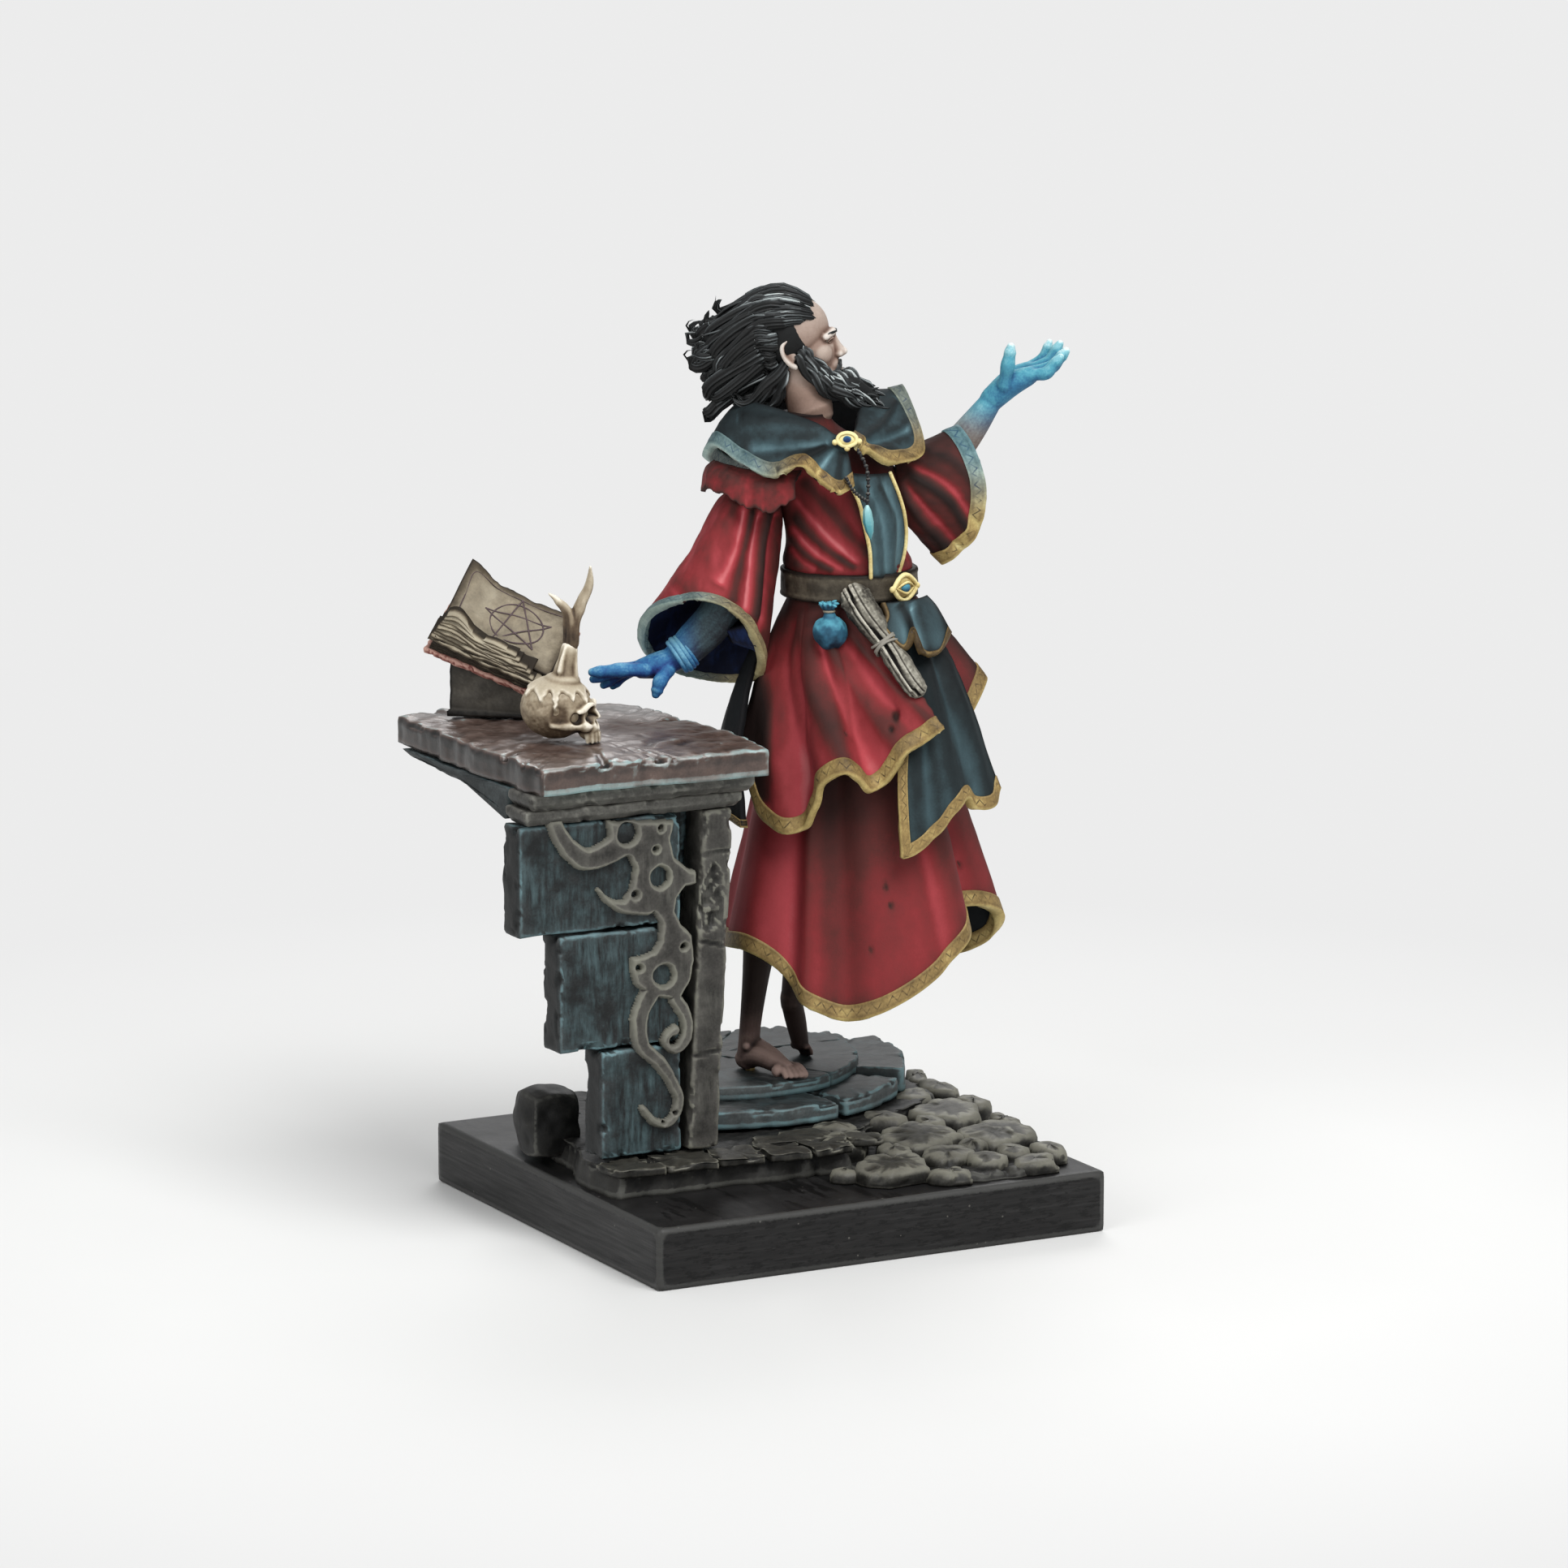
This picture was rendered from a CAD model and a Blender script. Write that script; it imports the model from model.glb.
# %% [markdown]
# # A painted display miniature
# The real object is a small resin figure, cast in pieces, glued on a black wooden block and painted by hand.
# This lesson dresses its plain solids: each solid is replaced by a finer shape in the same place, and every
# shape gets paint made of nodes. Sizes are written in millimetres, as a model maker would, and become metres
# only when a mesh is made.

# %% Load the solids
import math

import bmesh
import bpy
import numpy as np
from mathutils import Matrix, Vector


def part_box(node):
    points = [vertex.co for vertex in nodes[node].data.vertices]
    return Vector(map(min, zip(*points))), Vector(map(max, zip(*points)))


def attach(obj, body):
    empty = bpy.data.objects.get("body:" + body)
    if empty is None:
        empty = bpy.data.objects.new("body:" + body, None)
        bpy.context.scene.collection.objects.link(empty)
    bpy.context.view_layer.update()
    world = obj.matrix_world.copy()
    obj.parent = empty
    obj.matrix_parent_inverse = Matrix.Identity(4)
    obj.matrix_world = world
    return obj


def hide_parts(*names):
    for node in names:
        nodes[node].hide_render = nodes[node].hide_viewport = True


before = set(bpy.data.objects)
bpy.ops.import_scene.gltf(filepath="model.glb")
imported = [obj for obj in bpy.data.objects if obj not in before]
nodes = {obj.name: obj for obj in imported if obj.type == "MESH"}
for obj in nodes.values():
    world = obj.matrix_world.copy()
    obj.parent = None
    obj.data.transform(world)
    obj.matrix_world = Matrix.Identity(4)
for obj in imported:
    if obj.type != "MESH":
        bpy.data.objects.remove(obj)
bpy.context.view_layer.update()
MM = 0.001


def box_of(name):
    """Low and high corner of a solid's box, in millimetres."""
    return [np.array(corner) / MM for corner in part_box(name)]


print("solids loaded:", len(nodes))

# %% [markdown]
# ## Camera
# The photograph was taken from a little above, about 28 degrees to the left of the plinth's front. A long
# lens far away gives its weak perspective. The distance, turn and height were fitted to the corners of the
# plinth.

# %% Camera
CAMERA_TURN, CAMERA_LIFT, CAMERA_DISTANCE = math.radians(28.012), math.radians(10.884), 700.0
CAMERA_TARGET = Vector((2.03, 0.0, 43.29))
CAMERA_ANGLE = math.radians(12.8128)
to_camera = Vector((-math.sin(CAMERA_TURN) * math.cos(CAMERA_LIFT),
                    -math.cos(CAMERA_TURN) * math.cos(CAMERA_LIFT), math.sin(CAMERA_LIFT)))
camera = bpy.data.objects.new("camera", bpy.data.cameras.new("camera"))
bpy.context.scene.collection.objects.link(camera)
camera.location = (CAMERA_TARGET + CAMERA_DISTANCE * to_camera) * MM
camera.rotation_euler = (-to_camera).to_track_quat("-Z", "Y").to_euler()
camera.data.angle = CAMERA_ANGLE
camera.data.clip_start = 0.01
bpy.context.scene.camera = camera
print("camera at", [round(c, 3) for c in camera.location])

# %% [markdown]
# ## Studio
# One large soft lamp above the front does most of the work, as over a painter's desk. A weaker one fills the
# left, one behind lifts the edges, and the pale world keeps the shadows open. The floor is a pale disc that
# fades to plain white away from the shadow.

# %% Studio
LAMP_TARGET = Vector((0, 0, 0.045))
SKY_COLOUR, SKY_STRENGTH = (0.86, 0.87, 0.88, 1), 0.55
FLOOR_RADIUS = 5.0


def soft_lamp(name, place, size, watts):
    lamp = bpy.data.objects.new(name, bpy.data.lights.new(name, "AREA"))
    lamp.data.size = size
    lamp.data.energy = watts
    lamp.location = place
    lamp.rotation_euler = (LAMP_TARGET - Vector(place)).to_track_quat("-Z", "Y").to_euler()
    bpy.context.scene.collection.objects.link(lamp)


soft_lamp("key_lamp", (0.05, -0.55, 0.75), 0.5, 7.0)
soft_lamp("fill_lamp", (-0.75, -0.35, 0.35), 0.5, 2.2)
soft_lamp("back_lamp", (0.35, 0.6, 0.6), 0.4, 2.5)
world = bpy.data.worlds.new("studio")
bpy.context.scene.world = world
world.use_nodes = True
sky = world.node_tree.nodes["Background"].inputs
sky["Color"].default_value = SKY_COLOUR
sky["Strength"].default_value = SKY_STRENGTH
bpy.context.scene.view_settings.view_transform = "Standard"
bpy.ops.object.select_all(action="DESELECT")
bpy.ops.mesh.primitive_circle_add(vertices=96, radius=FLOOR_RADIUS, fill_type="NGON")
floor = bpy.context.object
floor.name = "studio_floor"
print("lamps and floor set")

# %% [markdown]
# ## Drawing with points
# Cloth, hair and limbs follow curves. A Catmull-Rom curve runs through every point it is given, which suits
# points that were read off a photograph. A loft runs such curves both ways and gives a grid of points.

# %% Curves and grids
def spline(points, count, closed=False):
    """Points at even steps along a curve through the given points."""
    p = np.asarray(points, float)
    total = len(p)
    at = np.linspace(0, total if closed else total - 1, count, endpoint=not closed)
    first = np.minimum(at.astype(int), total - (1 if closed else 2))
    t = (at - first).reshape(-1, *[1] * (p.ndim - 1))
    a, b, c, d = [p[(first + k) % total] if closed else p[np.clip(first + k, 0, total - 1)]
                  for k in (-1, 0, 1, 2)]
    return 0.5 * (2 * b + (c - a) * t + (2 * a - 5 * b + 4 * c - d) * t ** 2
                  + (3 * b - a - 3 * c + d) * t ** 3)


def loft(rings, around, along, closed=True):
    """A grid of points over control rings: along rows of around points."""
    rows = np.array([spline(ring, around, closed) for ring in rings])
    return spline(rows, along)


def lengths(points):
    """Distance along a line of points, from its first one."""
    return np.concatenate([[0], np.cumsum(np.linalg.norm(np.diff(points, axis=0), axis=1))])


def unit(vectors):
    return vectors / np.maximum(np.linalg.norm(vectors, axis=-1, keepdims=True), 1e-9)


def bump(values, middle, width):
    """A soft hump of height one."""
    return np.exp(-((values - middle) / width) ** 2)


def lattice(i, j, k, seed):
    h = (i * 374761393 + j * 668265263 + k * 1274126177 + seed * 974711) & 0xFFFFFFFF
    h = ((h ^ (h >> 13)) * 1103515245) & 0xFFFFFFFF
    return ((h ^ (h >> 16)) & 0xFFFF) / 32767.5 - 1.0


def rough(points, size, seed=0, layers=2):
    """Smooth random values from -1 to 1 with lumps of about the given size."""
    total, gain = 0.0, 1.0
    for layer in range(layers):
        q = np.asarray(points, float) / size * 2 ** layer + 1000.0
        cell = np.floor(q).astype(np.int64)
        f = q - cell
        f = f * f * (3 - 2 * f)
        value = 0.0
        for corner in range(8):
            step = np.array([corner & 1, corner >> 1 & 1, corner >> 2])
            weight = np.prod(np.where(step, f, 1 - f), axis=-1)
            at = cell + step
            value = value + weight * lattice(at[..., 0], at[..., 1], at[..., 2], seed + layer)
        total = total + gain * value
        gain *= 0.5
    return total


def turned(points, pose):
    """Points moved by a pose, still in millimetres."""
    m = np.array(pose)
    return np.asarray(points, float) @ m[:3, :3].T + m[:3, 3]


print("a test curve is", round(float(lengths(spline([(0, 0, 0), (1, 1, 0), (2, 0, 0)], 20))[-1]), 2),
      "mm long")

# %% [markdown]
# ## Making meshes
# A sheet of cloth is a grid, a copy of it set back by the cloth's thickness, and a rim between the two. A
# tube is a stack of rings that closes in a dome at each end. A stack of tubes and balls can be melted into
# one skin by a voxel remesh, which is how hands, heads and skulls are made here.

# %% Mesh builders
def grid_faces(rows, columns, wrap=False, start=0, flip=False):
    i, k = np.meshgrid(np.arange(rows - 1), np.arange(columns if wrap else columns - 1), indexing="ij")
    after = (k + 1) % columns
    quads = np.stack([i * columns + k, i * columns + after, (i + 1) * columns + after, (i + 1) * columns + k],
                     -1)
    quads = quads.reshape(-1, 4) + start
    return (quads[:, ::-1] if flip else quads).tolist()


def grid_normals(grid, wrap=False):
    padded = np.concatenate([grid[:, -1:], grid, grid[:, :1]], axis=1) if wrap else grid
    across = np.gradient(padded, axis=1)
    if wrap:
        across = across[:, 1:-1]
    return unit(np.cross(np.gradient(grid, axis=0), across))


def sheet(grid, front, back, wrap=False):
    """Points and faces of a closed sheet: the grid moved by front and by back along its normal."""
    grid = np.asarray(grid)
    rows, columns = grid.shape[:2]
    normal = grid_normals(grid, wrap)
    front, back = [np.asarray(d)[..., None] if np.ndim(d) else d for d in (front, back)]
    points = np.concatenate([(grid + normal * front).reshape(-1, 3), (grid + normal * back).reshape(-1, 3)])
    half = rows * columns
    faces = grid_faces(rows, columns, wrap) + grid_faces(rows, columns, wrap, half, True)
    if wrap:
        loops = [list(range(columns)) + [0],
                 [(rows - 1) * columns + k for k in range(columns)] + [(rows - 1) * columns]]
        loops[1].reverse()
    else:
        ring = list(range(columns)) + [i * columns + columns - 1 for i in range(1, rows)]
        ring += [(rows - 1) * columns + k for k in range(columns - 2, -1, -1)]
        ring += [i * columns for i in range(rows - 2, -1, -1)]
        loops = [ring]
    for loop in loops:
        faces += [[b, a, a + half, b + half] for a, b in zip(loop, loop[1:])]
    return points, faces


def tube(path, radii, sides=10, steps=12, flat=1.0, up=(0.31, 0.52, 0.79)):
    """Points and faces of a round rod of changing radius with domed ends."""
    line = spline(path, steps)
    size = spline(np.asarray(radii, float)[:, None], steps)[:, 0]
    along = unit(np.gradient(line, axis=0))
    dome = [(0.0, -1.0), (0.55, -0.83), (0.86, -0.5)]
    places = [(0, r, s) for r, s in dome] + [(k, 1.0, 0.0) for k in range(steps)]
    places += [(steps - 1, r, -s) for r, s in dome[::-1]]
    side = np.cross(along[0], up)
    turns = np.linspace(0, 2 * np.pi, sides, endpoint=False)
    frames = []
    for k in range(steps):
        side = unit(side - along[k] * (side @ along[k]))
        frames.append((side, np.cross(along[k], side) * flat))
    points = []
    for k, share, slide in places:
        wide, tall = frames[k]
        ring = np.cos(turns)[:, None] * wide + np.sin(turns)[:, None] * tall
        points.append(line[k] + size[k] * (share * ring + slide * along[k]))
    return np.concatenate(points), grid_faces(len(points), sides, True)


def ball(centre, radii, fineness=3):
    bm = bmesh.new()
    bmesh.ops.create_icosphere(bm, subdivisions=fineness, radius=1.0)
    points = np.array([v.co for v in bm.verts]) * radii + centre
    faces = [[v.index for v in face.verts] for face in bm.faces]
    bm.free()
    return points, faces


def block(low, high, step=0.4, rounding=0.35):
    """A box with a fine grid on its faces and rounded edges."""
    low, high = np.array(low, float), np.array(high, float)
    counts = np.maximum(2, np.ceil((high - low) / step).astype(int) + 1)
    parts = []
    for axis in range(3):
        a, b = [k for k in range(3) if k != axis]
        u, v = np.meshgrid(np.linspace(0, 1, counts[a]), np.linspace(0, 1, counts[b]), indexing="ij")
        for end in (0, 1):
            face = np.zeros(u.shape + (3,))
            face[..., a], face[..., b], face[..., axis] = u, v, end
            flip = (end == 0) == (axis != 1)
            parts.append((face.reshape(-1, 3), grid_faces(counts[a], counts[b], flip=not flip)))
    points, faces = gather(parts)
    points, same = np.unique(np.round(points, 6), axis=0, return_inverse=True)
    faces = [[int(same[k]) for k in face] for face in faces]
    points = low + points * (high - low)
    core = np.clip(points, low + rounding, high - rounding)
    return core + unit(points - core) * rounding, faces


def capped(rings):
    """Points and faces of a stack of closed rings with a fan over each end."""
    rows, columns = rings.shape[:2]
    points = np.vstack([rings.reshape(-1, 3), rings[0].mean(0), rings[-1].mean(0)])
    faces, last, hub = grid_faces(rows, columns, True), (rows - 1) * columns, rows * columns
    for k in range(columns):
        after = (k + 1) % columns
        faces += [[hub, after, k], [hub + 1, last + k, last + after]]
    return points, faces


def even_outline(corners, count):
    """Points at even steps along a closed outline of straight pieces."""
    closed = np.vstack([corners, corners[:1]])
    run = lengths(closed)
    at = np.linspace(0, run[-1], count, endpoint=False)
    return np.stack([np.interp(at, run, column) for column in closed.T], 1)


# %% Objects from points and faces
def gather(parts):
    """One list of points and faces from many."""
    points, faces, start = [], [], 0
    for part_points, part_faces in parts:
        points.append(part_points)
        faces += [[k + start for k in face] for face in part_faces]
        start += len(part_points)
    return np.concatenate(points), faces


def new_object(name, points, faces, scale=MM):
    mesh = bpy.data.meshes.new(name)
    mesh.from_pydata((np.asarray(points) * scale).tolist(), [], faces)
    made = bpy.data.objects.new(name, mesh)
    bpy.context.scene.collection.objects.link(made)
    mesh.shade_smooth()
    return made


def placed(name, part, pose):
    """A new object from points and faces that are moved by a pose."""
    return new_object(name, turned(part[0], pose), part[1])


def apply(made, kind, **settings):
    """Add a modifier, set it and apply it."""
    bpy.ops.object.select_all(action="DESELECT")
    bpy.context.view_layer.objects.active = made
    made.select_set(True)
    modifier = made.modifiers.new(kind.lower(), kind)
    for key, value in settings.items():
        setattr(modifier, key, value)
    bpy.ops.object.modifier_apply(modifier=modifier.name)


def melted(name, parts, voxel, smooth=6):
    """Melt overlapping shapes into one skin; the work is done with a metre for each millimetre."""
    made = new_object(name, *gather(parts), scale=1.0)
    apply(made, "REMESH", mode="VOXEL", voxel_size=voxel)
    apply(made, "SMOOTH", factor=0.5, iterations=smooth)
    made.data.shade_smooth()
    return made


def co_of(made):
    found = np.empty(len(made.data.vertices) * 3)
    made.data.vertices.foreach_get("co", found)
    return found.reshape(-1, 3)


def normals_of(made):
    found = np.empty(len(made.data.vertices) * 3)
    made.data.vertex_normals.foreach_get("vector", found)
    return found.reshape(-1, 3)


def set_co(made, points):
    made.data.vertices.foreach_set("co", np.ascontiguousarray(points, dtype=np.float32).ravel())
    made.data.update()


def settle(made, pose=None):
    """Turn a mesh that was worked in millimetres to its place, in metres."""
    points = co_of(made)
    set_co(made, (turned(points, pose) if pose is not None else points) * MM)
    return made


print("builders ready")

# %% [markdown]
# ## The painter's masks
# A miniature painter darkens hollows, lightens ridges and paints light from above. Paint nodes can't see the
# shape, so each mesh stores four masks as attributes: zenith, how far a point faces up;
# ridge, how far it stands proud of its near neighbours; form, the same over a wider reach; and shade, which
# the code below may set by hand.

# %% Masks
def mask_layer(made, name, values):
    layer = made.data.attributes.get(name) or made.data.attributes.new(name, "FLOAT", "POINT")
    layer.data.foreach_set("value", np.ascontiguousarray(values, dtype=np.float32))


def painters_masks(made, near=0.35, wide=1.6):
    mesh = made.data
    points, normal = co_of(made) / MM, normals_of(made)
    ends = np.empty(len(mesh.edges) * 2, np.int32)
    mesh.edges.foreach_get("vertices", ends)
    ends = ends.reshape(-1, 2)
    count = len(points)
    a, b = np.concatenate([ends[:, 0], ends[:, 1]]), np.concatenate([ends[:, 1], ends[:, 0]])
    degree = np.maximum(np.bincount(a, minlength=count), 1)[:, None]
    edge = float(np.median(np.linalg.norm(points[ends[:, 0]] - points[ends[:, 1]], axis=1)))

    def proud(reach):
        """How far each point stands out of the surface smoothed over the reach."""
        level = points.copy()
        for _ in range(int(np.clip((reach / edge) ** 2, 2, 90))):
            pulled = np.stack([np.bincount(a, level[b, k], count) for k in range(3)], 1)
            level = 0.5 * level + 0.5 * pulled / degree
        return np.sum((points - level) * normal, axis=1) / reach

    mask_layer(made, "ridge", np.clip(proud(near) * 4, -1, 1))
    mask_layer(made, "form", np.clip(proud(wide) * 4, -1, 1))
    mask_layer(made, "zenith", normal[:, 2])
    if "shade" not in mesh.attributes:
        mask_layer(made, "shade", np.zeros(count))


dressed = []


def dress(made, paint, stands_for=(), near=0.35, wide=1.6):
    """Give a finished piece its masks and paint, and tie it to the model."""
    painters_masks(made, near, wide)
    if not made.data.materials:
        made.data.materials.append(paint)
    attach(made, "root")
    if stands_for:
        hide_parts(*stands_for)
    dressed.append(made)
    return made


print("masks ready")

# %% [markdown]
# ## Paint groups
# Several paints share the same tricks, so each trick is a node group made once. Painted light adds up the
# masks into one value from dark to light. Edge wear keeps only sharp ridges, broken up by noise, for the
# drybrushed edges of stone. Streaks are noise stretched along one axis, for brush marks and wood grain.
# The zigzag is one ornament line, drawn on the trim's own map and worn away in places.

# %% Node helpers
def put(tree, kind, sources=None, **settings):
    """Add a node; sources are linked where they are sockets and set where they are values."""
    made = tree.nodes.new("ShaderNode" + kind)
    for key, value in settings.items():
        setattr(made, key, value)
    for key, source in (sources or {}).items():
        socket = made.inputs[key]
        if isinstance(source, bpy.types.NodeSocket):
            tree.links.new(source, socket)
        else:
            socket.default_value = source
    return made


def maths(tree, operation, *values, clamp=False):
    return put(tree, "Math", dict(enumerate(values)), operation=operation, use_clamp=clamp).outputs[0]


def mix(tree, share, first, second, blend="MIX"):
    made = put(tree, "Mix", {0: share, 6: first, 7: second}, data_type="RGBA", blend_type=blend)
    return made.outputs[2]


def ramp(tree, value, stops):
    made = put(tree, "ValToRGB", {0: value})
    line = made.color_ramp
    while len(line.elements) < len(stops):
        line.elements.new(0.5)
    for element, (place, colour) in zip(line.elements, stops):
        element.position = place
        element.color = (*colour, 1.0)
    return made.outputs[0]


def mask(tree, name):
    return put(tree, "Attribute", attribute_name=name).outputs["Fac"]


def new_group(name, inputs, outputs):
    tree = bpy.data.node_groups.new(name, "ShaderNodeTree")
    for label, value in inputs.items():
        kind = "NodeSocketVector" if isinstance(value, tuple) else "NodeSocketFloat"
        tree.interface.new_socket(label, in_out="INPUT", socket_type=kind).default_value = value
    for label in outputs:
        tree.interface.new_socket(label, in_out="OUTPUT", socket_type="NodeSocketFloat")
    return tree, tree.nodes.new("NodeGroupInput").outputs, tree.nodes.new("NodeGroupOutput").inputs


def grouped(tree, group, **values):
    made = tree.nodes.new("ShaderNodeGroup")
    made.node_tree = group
    for key, value in values.items():
        label = key.replace("_", " ")
        if isinstance(value, bpy.types.NodeSocket):
            tree.links.new(value, made.inputs[label])
        else:
            made.inputs[label].default_value = value
    return made.outputs


def object_place(tree, scale=(1, 1, 1), turn=(0, 0, 0)):
    """Object coordinates in millimetres, stretched and turned."""
    place = put(tree, "TexCoord").outputs["Object"]
    mapped = put(tree, "Mapping", {"Vector": place, "Scale": tuple(1000 * s for s in scale),
                                   "Rotation": turn})
    return mapped.outputs[0]


# %% Painted light
LIGHT, light_in, light_out = new_group("painted light",
                                       {"Zenith": 0.2, "Form": 0.6, "Ridge": 0.3, "Mottle": 0.12, "Base": 0.5,
                                        "Vector": (0, 0, 0)}, ["Light", "Mottle"])
blotch = put(LIGHT, "TexNoise", {"Vector": light_in["Vector"], "Scale": 0.55, "Detail": 4.0,
                                 "Roughness": 0.6})
stipple = put(LIGHT, "TexNoise", {"Vector": light_in["Vector"], "Scale": 4.5, "Detail": 2.0})
spots = maths(LIGHT, "SUBTRACT", maths(LIGHT, "MULTIPLY_ADD", stipple.outputs[0], 0.5,
                                       blotch.outputs[0]), 0.75)
total = maths(LIGHT, "MULTIPLY_ADD", mask(LIGHT, "zenith"), light_in["Zenith"], light_in["Base"])
total = maths(LIGHT, "MULTIPLY_ADD", mask(LIGHT, "form"), light_in["Form"], total)
total = maths(LIGHT, "MULTIPLY_ADD", mask(LIGHT, "ridge"), light_in["Ridge"], total)
total = maths(LIGHT, "MULTIPLY_ADD", spots, light_in["Mottle"], total)
total = maths(LIGHT, "SUBTRACT", total, mask(LIGHT, "shade"), clamp=True)
LIGHT.links.new(total, light_out["Light"])
LIGHT.links.new(maths(LIGHT, "ADD", spots, 0.5, clamp=True), light_out["Mottle"])
print("group", LIGHT.name)

# %% Edge wear, streaks and the zigzag
WEAR, wear_in, wear_out = new_group("edge wear",
                                    {"Start": 0.12, "Soft": 0.25, "Size": 1.2, "Vector": (0, 0, 0)}, ["Wear"])
breakup = put(WEAR, "TexNoise", {"Vector": wear_in["Vector"], "Scale": wear_in["Size"], "Detail": 5.0,
                                 "Roughness": 0.7}).outputs[0]
proud = maths(WEAR, "MULTIPLY_ADD", breakup, 0.5, maths(WEAR, "SUBTRACT", mask(WEAR, "ridge"), 0.25))
worn = maths(WEAR, "DIVIDE", maths(WEAR, "SUBTRACT", proud, wear_in["Start"]), wear_in["Soft"], clamp=True)
WEAR.links.new(worn, wear_out["Wear"])

STREAKS, streak_in, streak_out = new_group("streaks", {"Scale": 2.0, "Contrast": 2.5, "Vector": (0, 0, 0)},
                                           ["Streaks"])
grain = put(STREAKS, "TexNoise", {"Vector": streak_in["Vector"], "Scale": streak_in["Scale"], "Detail": 6.0,
                                  "Roughness": 0.65}).outputs[0]
sharper = maths(STREAKS, "MULTIPLY_ADD", maths(STREAKS, "SUBTRACT", grain, 0.5), streak_in["Contrast"], 0.5,
                clamp=True)
STREAKS.links.new(sharper, streak_out["Streaks"])

MARKS, marks_in, marks_out = new_group("zigzag line", {"Pitch": 1.1, "Width": 0.07, "Vector": (0, 0, 0)},
                                       ["Marks"])
split = put(MARKS, "SeparateXYZ", {0: marks_in["Vector"]}).outputs
wave = maths(MARKS, "PINGPONG", maths(MARKS, "DIVIDE", split["X"], marks_in["Pitch"]), 0.5)
level = maths(MARKS, "MULTIPLY_ADD", wave, 0.9, 0.275)
apart = maths(MARKS, "ABSOLUTE", maths(MARKS, "SUBTRACT", split["Y"], level))
MARKS.links.new(maths(MARKS, "LESS_THAN", apart, marks_in["Width"]), marks_out["Marks"])
print("groups", WEAR.name, STREAKS.name, MARKS.name)

# %% [markdown]
# ## Paints
# Each paint is a ramp from its darkest glaze to its brightest edge, read by the painted light. Resin paint is
# matt with a little sheen, so roughness stays high and a fine bump gives the brushed, slightly grainy skin.

# %% Paint builder
MATT_SHINE, GLOSSY_SHINE = 0.22, 0.6


def new_paint(name, roughness, grain_size=5.0, grain_depth=0.02, **plain):
    """A painted-resin material: its tree, its shader and its object coordinates in millimetres."""
    made = bpy.data.materials.new(name)
    made.use_nodes = True
    tree = made.node_tree
    shader = tree.nodes["Principled BSDF"]
    shader.inputs["Roughness"].default_value = roughness
    shader.inputs["Specular IOR Level"].default_value = MATT_SHINE
    for key, value in plain.items():
        shader.inputs[key.replace("_", " ")].default_value = value
    place = object_place(tree)
    grains = put(tree, "TexNoise", {"Vector": place, "Scale": grain_size, "Detail": 3.0})
    skin = put(tree, "Bump", {"Height": grains.outputs[0], "Strength": 0.35, "Distance": grain_depth * MM})
    tree.links.new(skin.outputs[0], shader.inputs["Normal"])
    return made, tree, shader, place


def colour_by(tree, shader, colour):
    tree.links.new(colour, shader.inputs["Base Color"])


def layered_paint(name, stops, roughness=0.62, tint=None, tint_share=0.0, **light):
    """A ramp over the painted light, with a second hue mottled in."""
    made, tree, shader, place = new_paint(name, roughness)
    lit = grouped(tree, LIGHT, Vector=place, **light)
    colour = ramp(tree, lit["Light"], stops)
    if tint:
        share = maths(tree, "MULTIPLY", lit["Mottle"], tint_share)
        colour = mix(tree, share, colour, (*tint, 1.0), "OVERLAY")
    colour_by(tree, shader, colour)
    return made


# %% Cloth, skin, bone and leather paints
RED = layered_paint("red_cloth", [
    (0.0, (0.014, 0.007, 0.006)), (0.2, (0.040, 0.014, 0.012)), (0.36, (0.088, 0.019, 0.017)),
    (0.52, (0.21, 0.024, 0.027)), (0.74, (0.41, 0.058, 0.070)), (1.0, (0.64, 0.21, 0.22))], roughness=0.74,
    tint=(0.30, 0.12, 0.11), tint_share=0.2, Zenith=0.16, Form=0.4, Ridge=0.05, Base=0.57, Mottle=0.12)
TEAL = layered_paint("teal_cloth", [
    (0.0, (0.004, 0.006, 0.007)), (0.3, (0.015, 0.023, 0.026)), (0.55, (0.042, 0.074, 0.086)),
    (0.78, (0.090, 0.160, 0.185)), (1.0, (0.22, 0.37, 0.41))], roughness=0.75,
    tint=(0.40, 0.40, 0.36), tint_share=0.25, Zenith=0.3, Form=0.45, Ridge=0.16, Base=0.5, Mottle=0.2)
LINING = layered_paint("dark_lining", [
    (0.0, (0.003, 0.003, 0.004)), (0.5, (0.010, 0.012, 0.014)), (1.0, (0.05, 0.06, 0.065))], roughness=0.8,
    Zenith=0.2, Form=0.3, Ridge=0.15, Base=0.4)
NAVY = layered_paint("navy_lining", [
    (0.0, (0.002, 0.003, 0.008)), (0.4, (0.005, 0.008, 0.028)), (0.75, (0.014, 0.035, 0.12)),
    (1.0, (0.05, 0.22, 0.36))], roughness=0.75, Zenith=0.1, Form=0.3, Ridge=0.4, Base=0.36, Mottle=0.35)
SKIN = layered_paint("tan_skin", [
    (0.0, (0.035, 0.018, 0.014)), (0.3, (0.13, 0.080, 0.060)), (0.55, (0.26, 0.185, 0.148)),
    (0.8, (0.43, 0.365, 0.315)), (1.0, (0.63, 0.59, 0.54))], roughness=0.6,
    tint=(0.56, 0.40, 0.37), tint_share=0.25, Zenith=0.16, Form=0.4, Ridge=0.2, Base=0.5, Mottle=0.2)
LEG_SKIN = layered_paint("shaded_skin", [
    (0.0, (0.012, 0.007, 0.006)), (0.35, (0.035, 0.022, 0.019)), (0.65, (0.12, 0.078, 0.068)),
    (1.0, (0.42, 0.29, 0.25))], roughness=0.65, Zenith=0.3, Form=0.4, Ridge=0.25, Base=0.4, Mottle=0.2)
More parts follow.
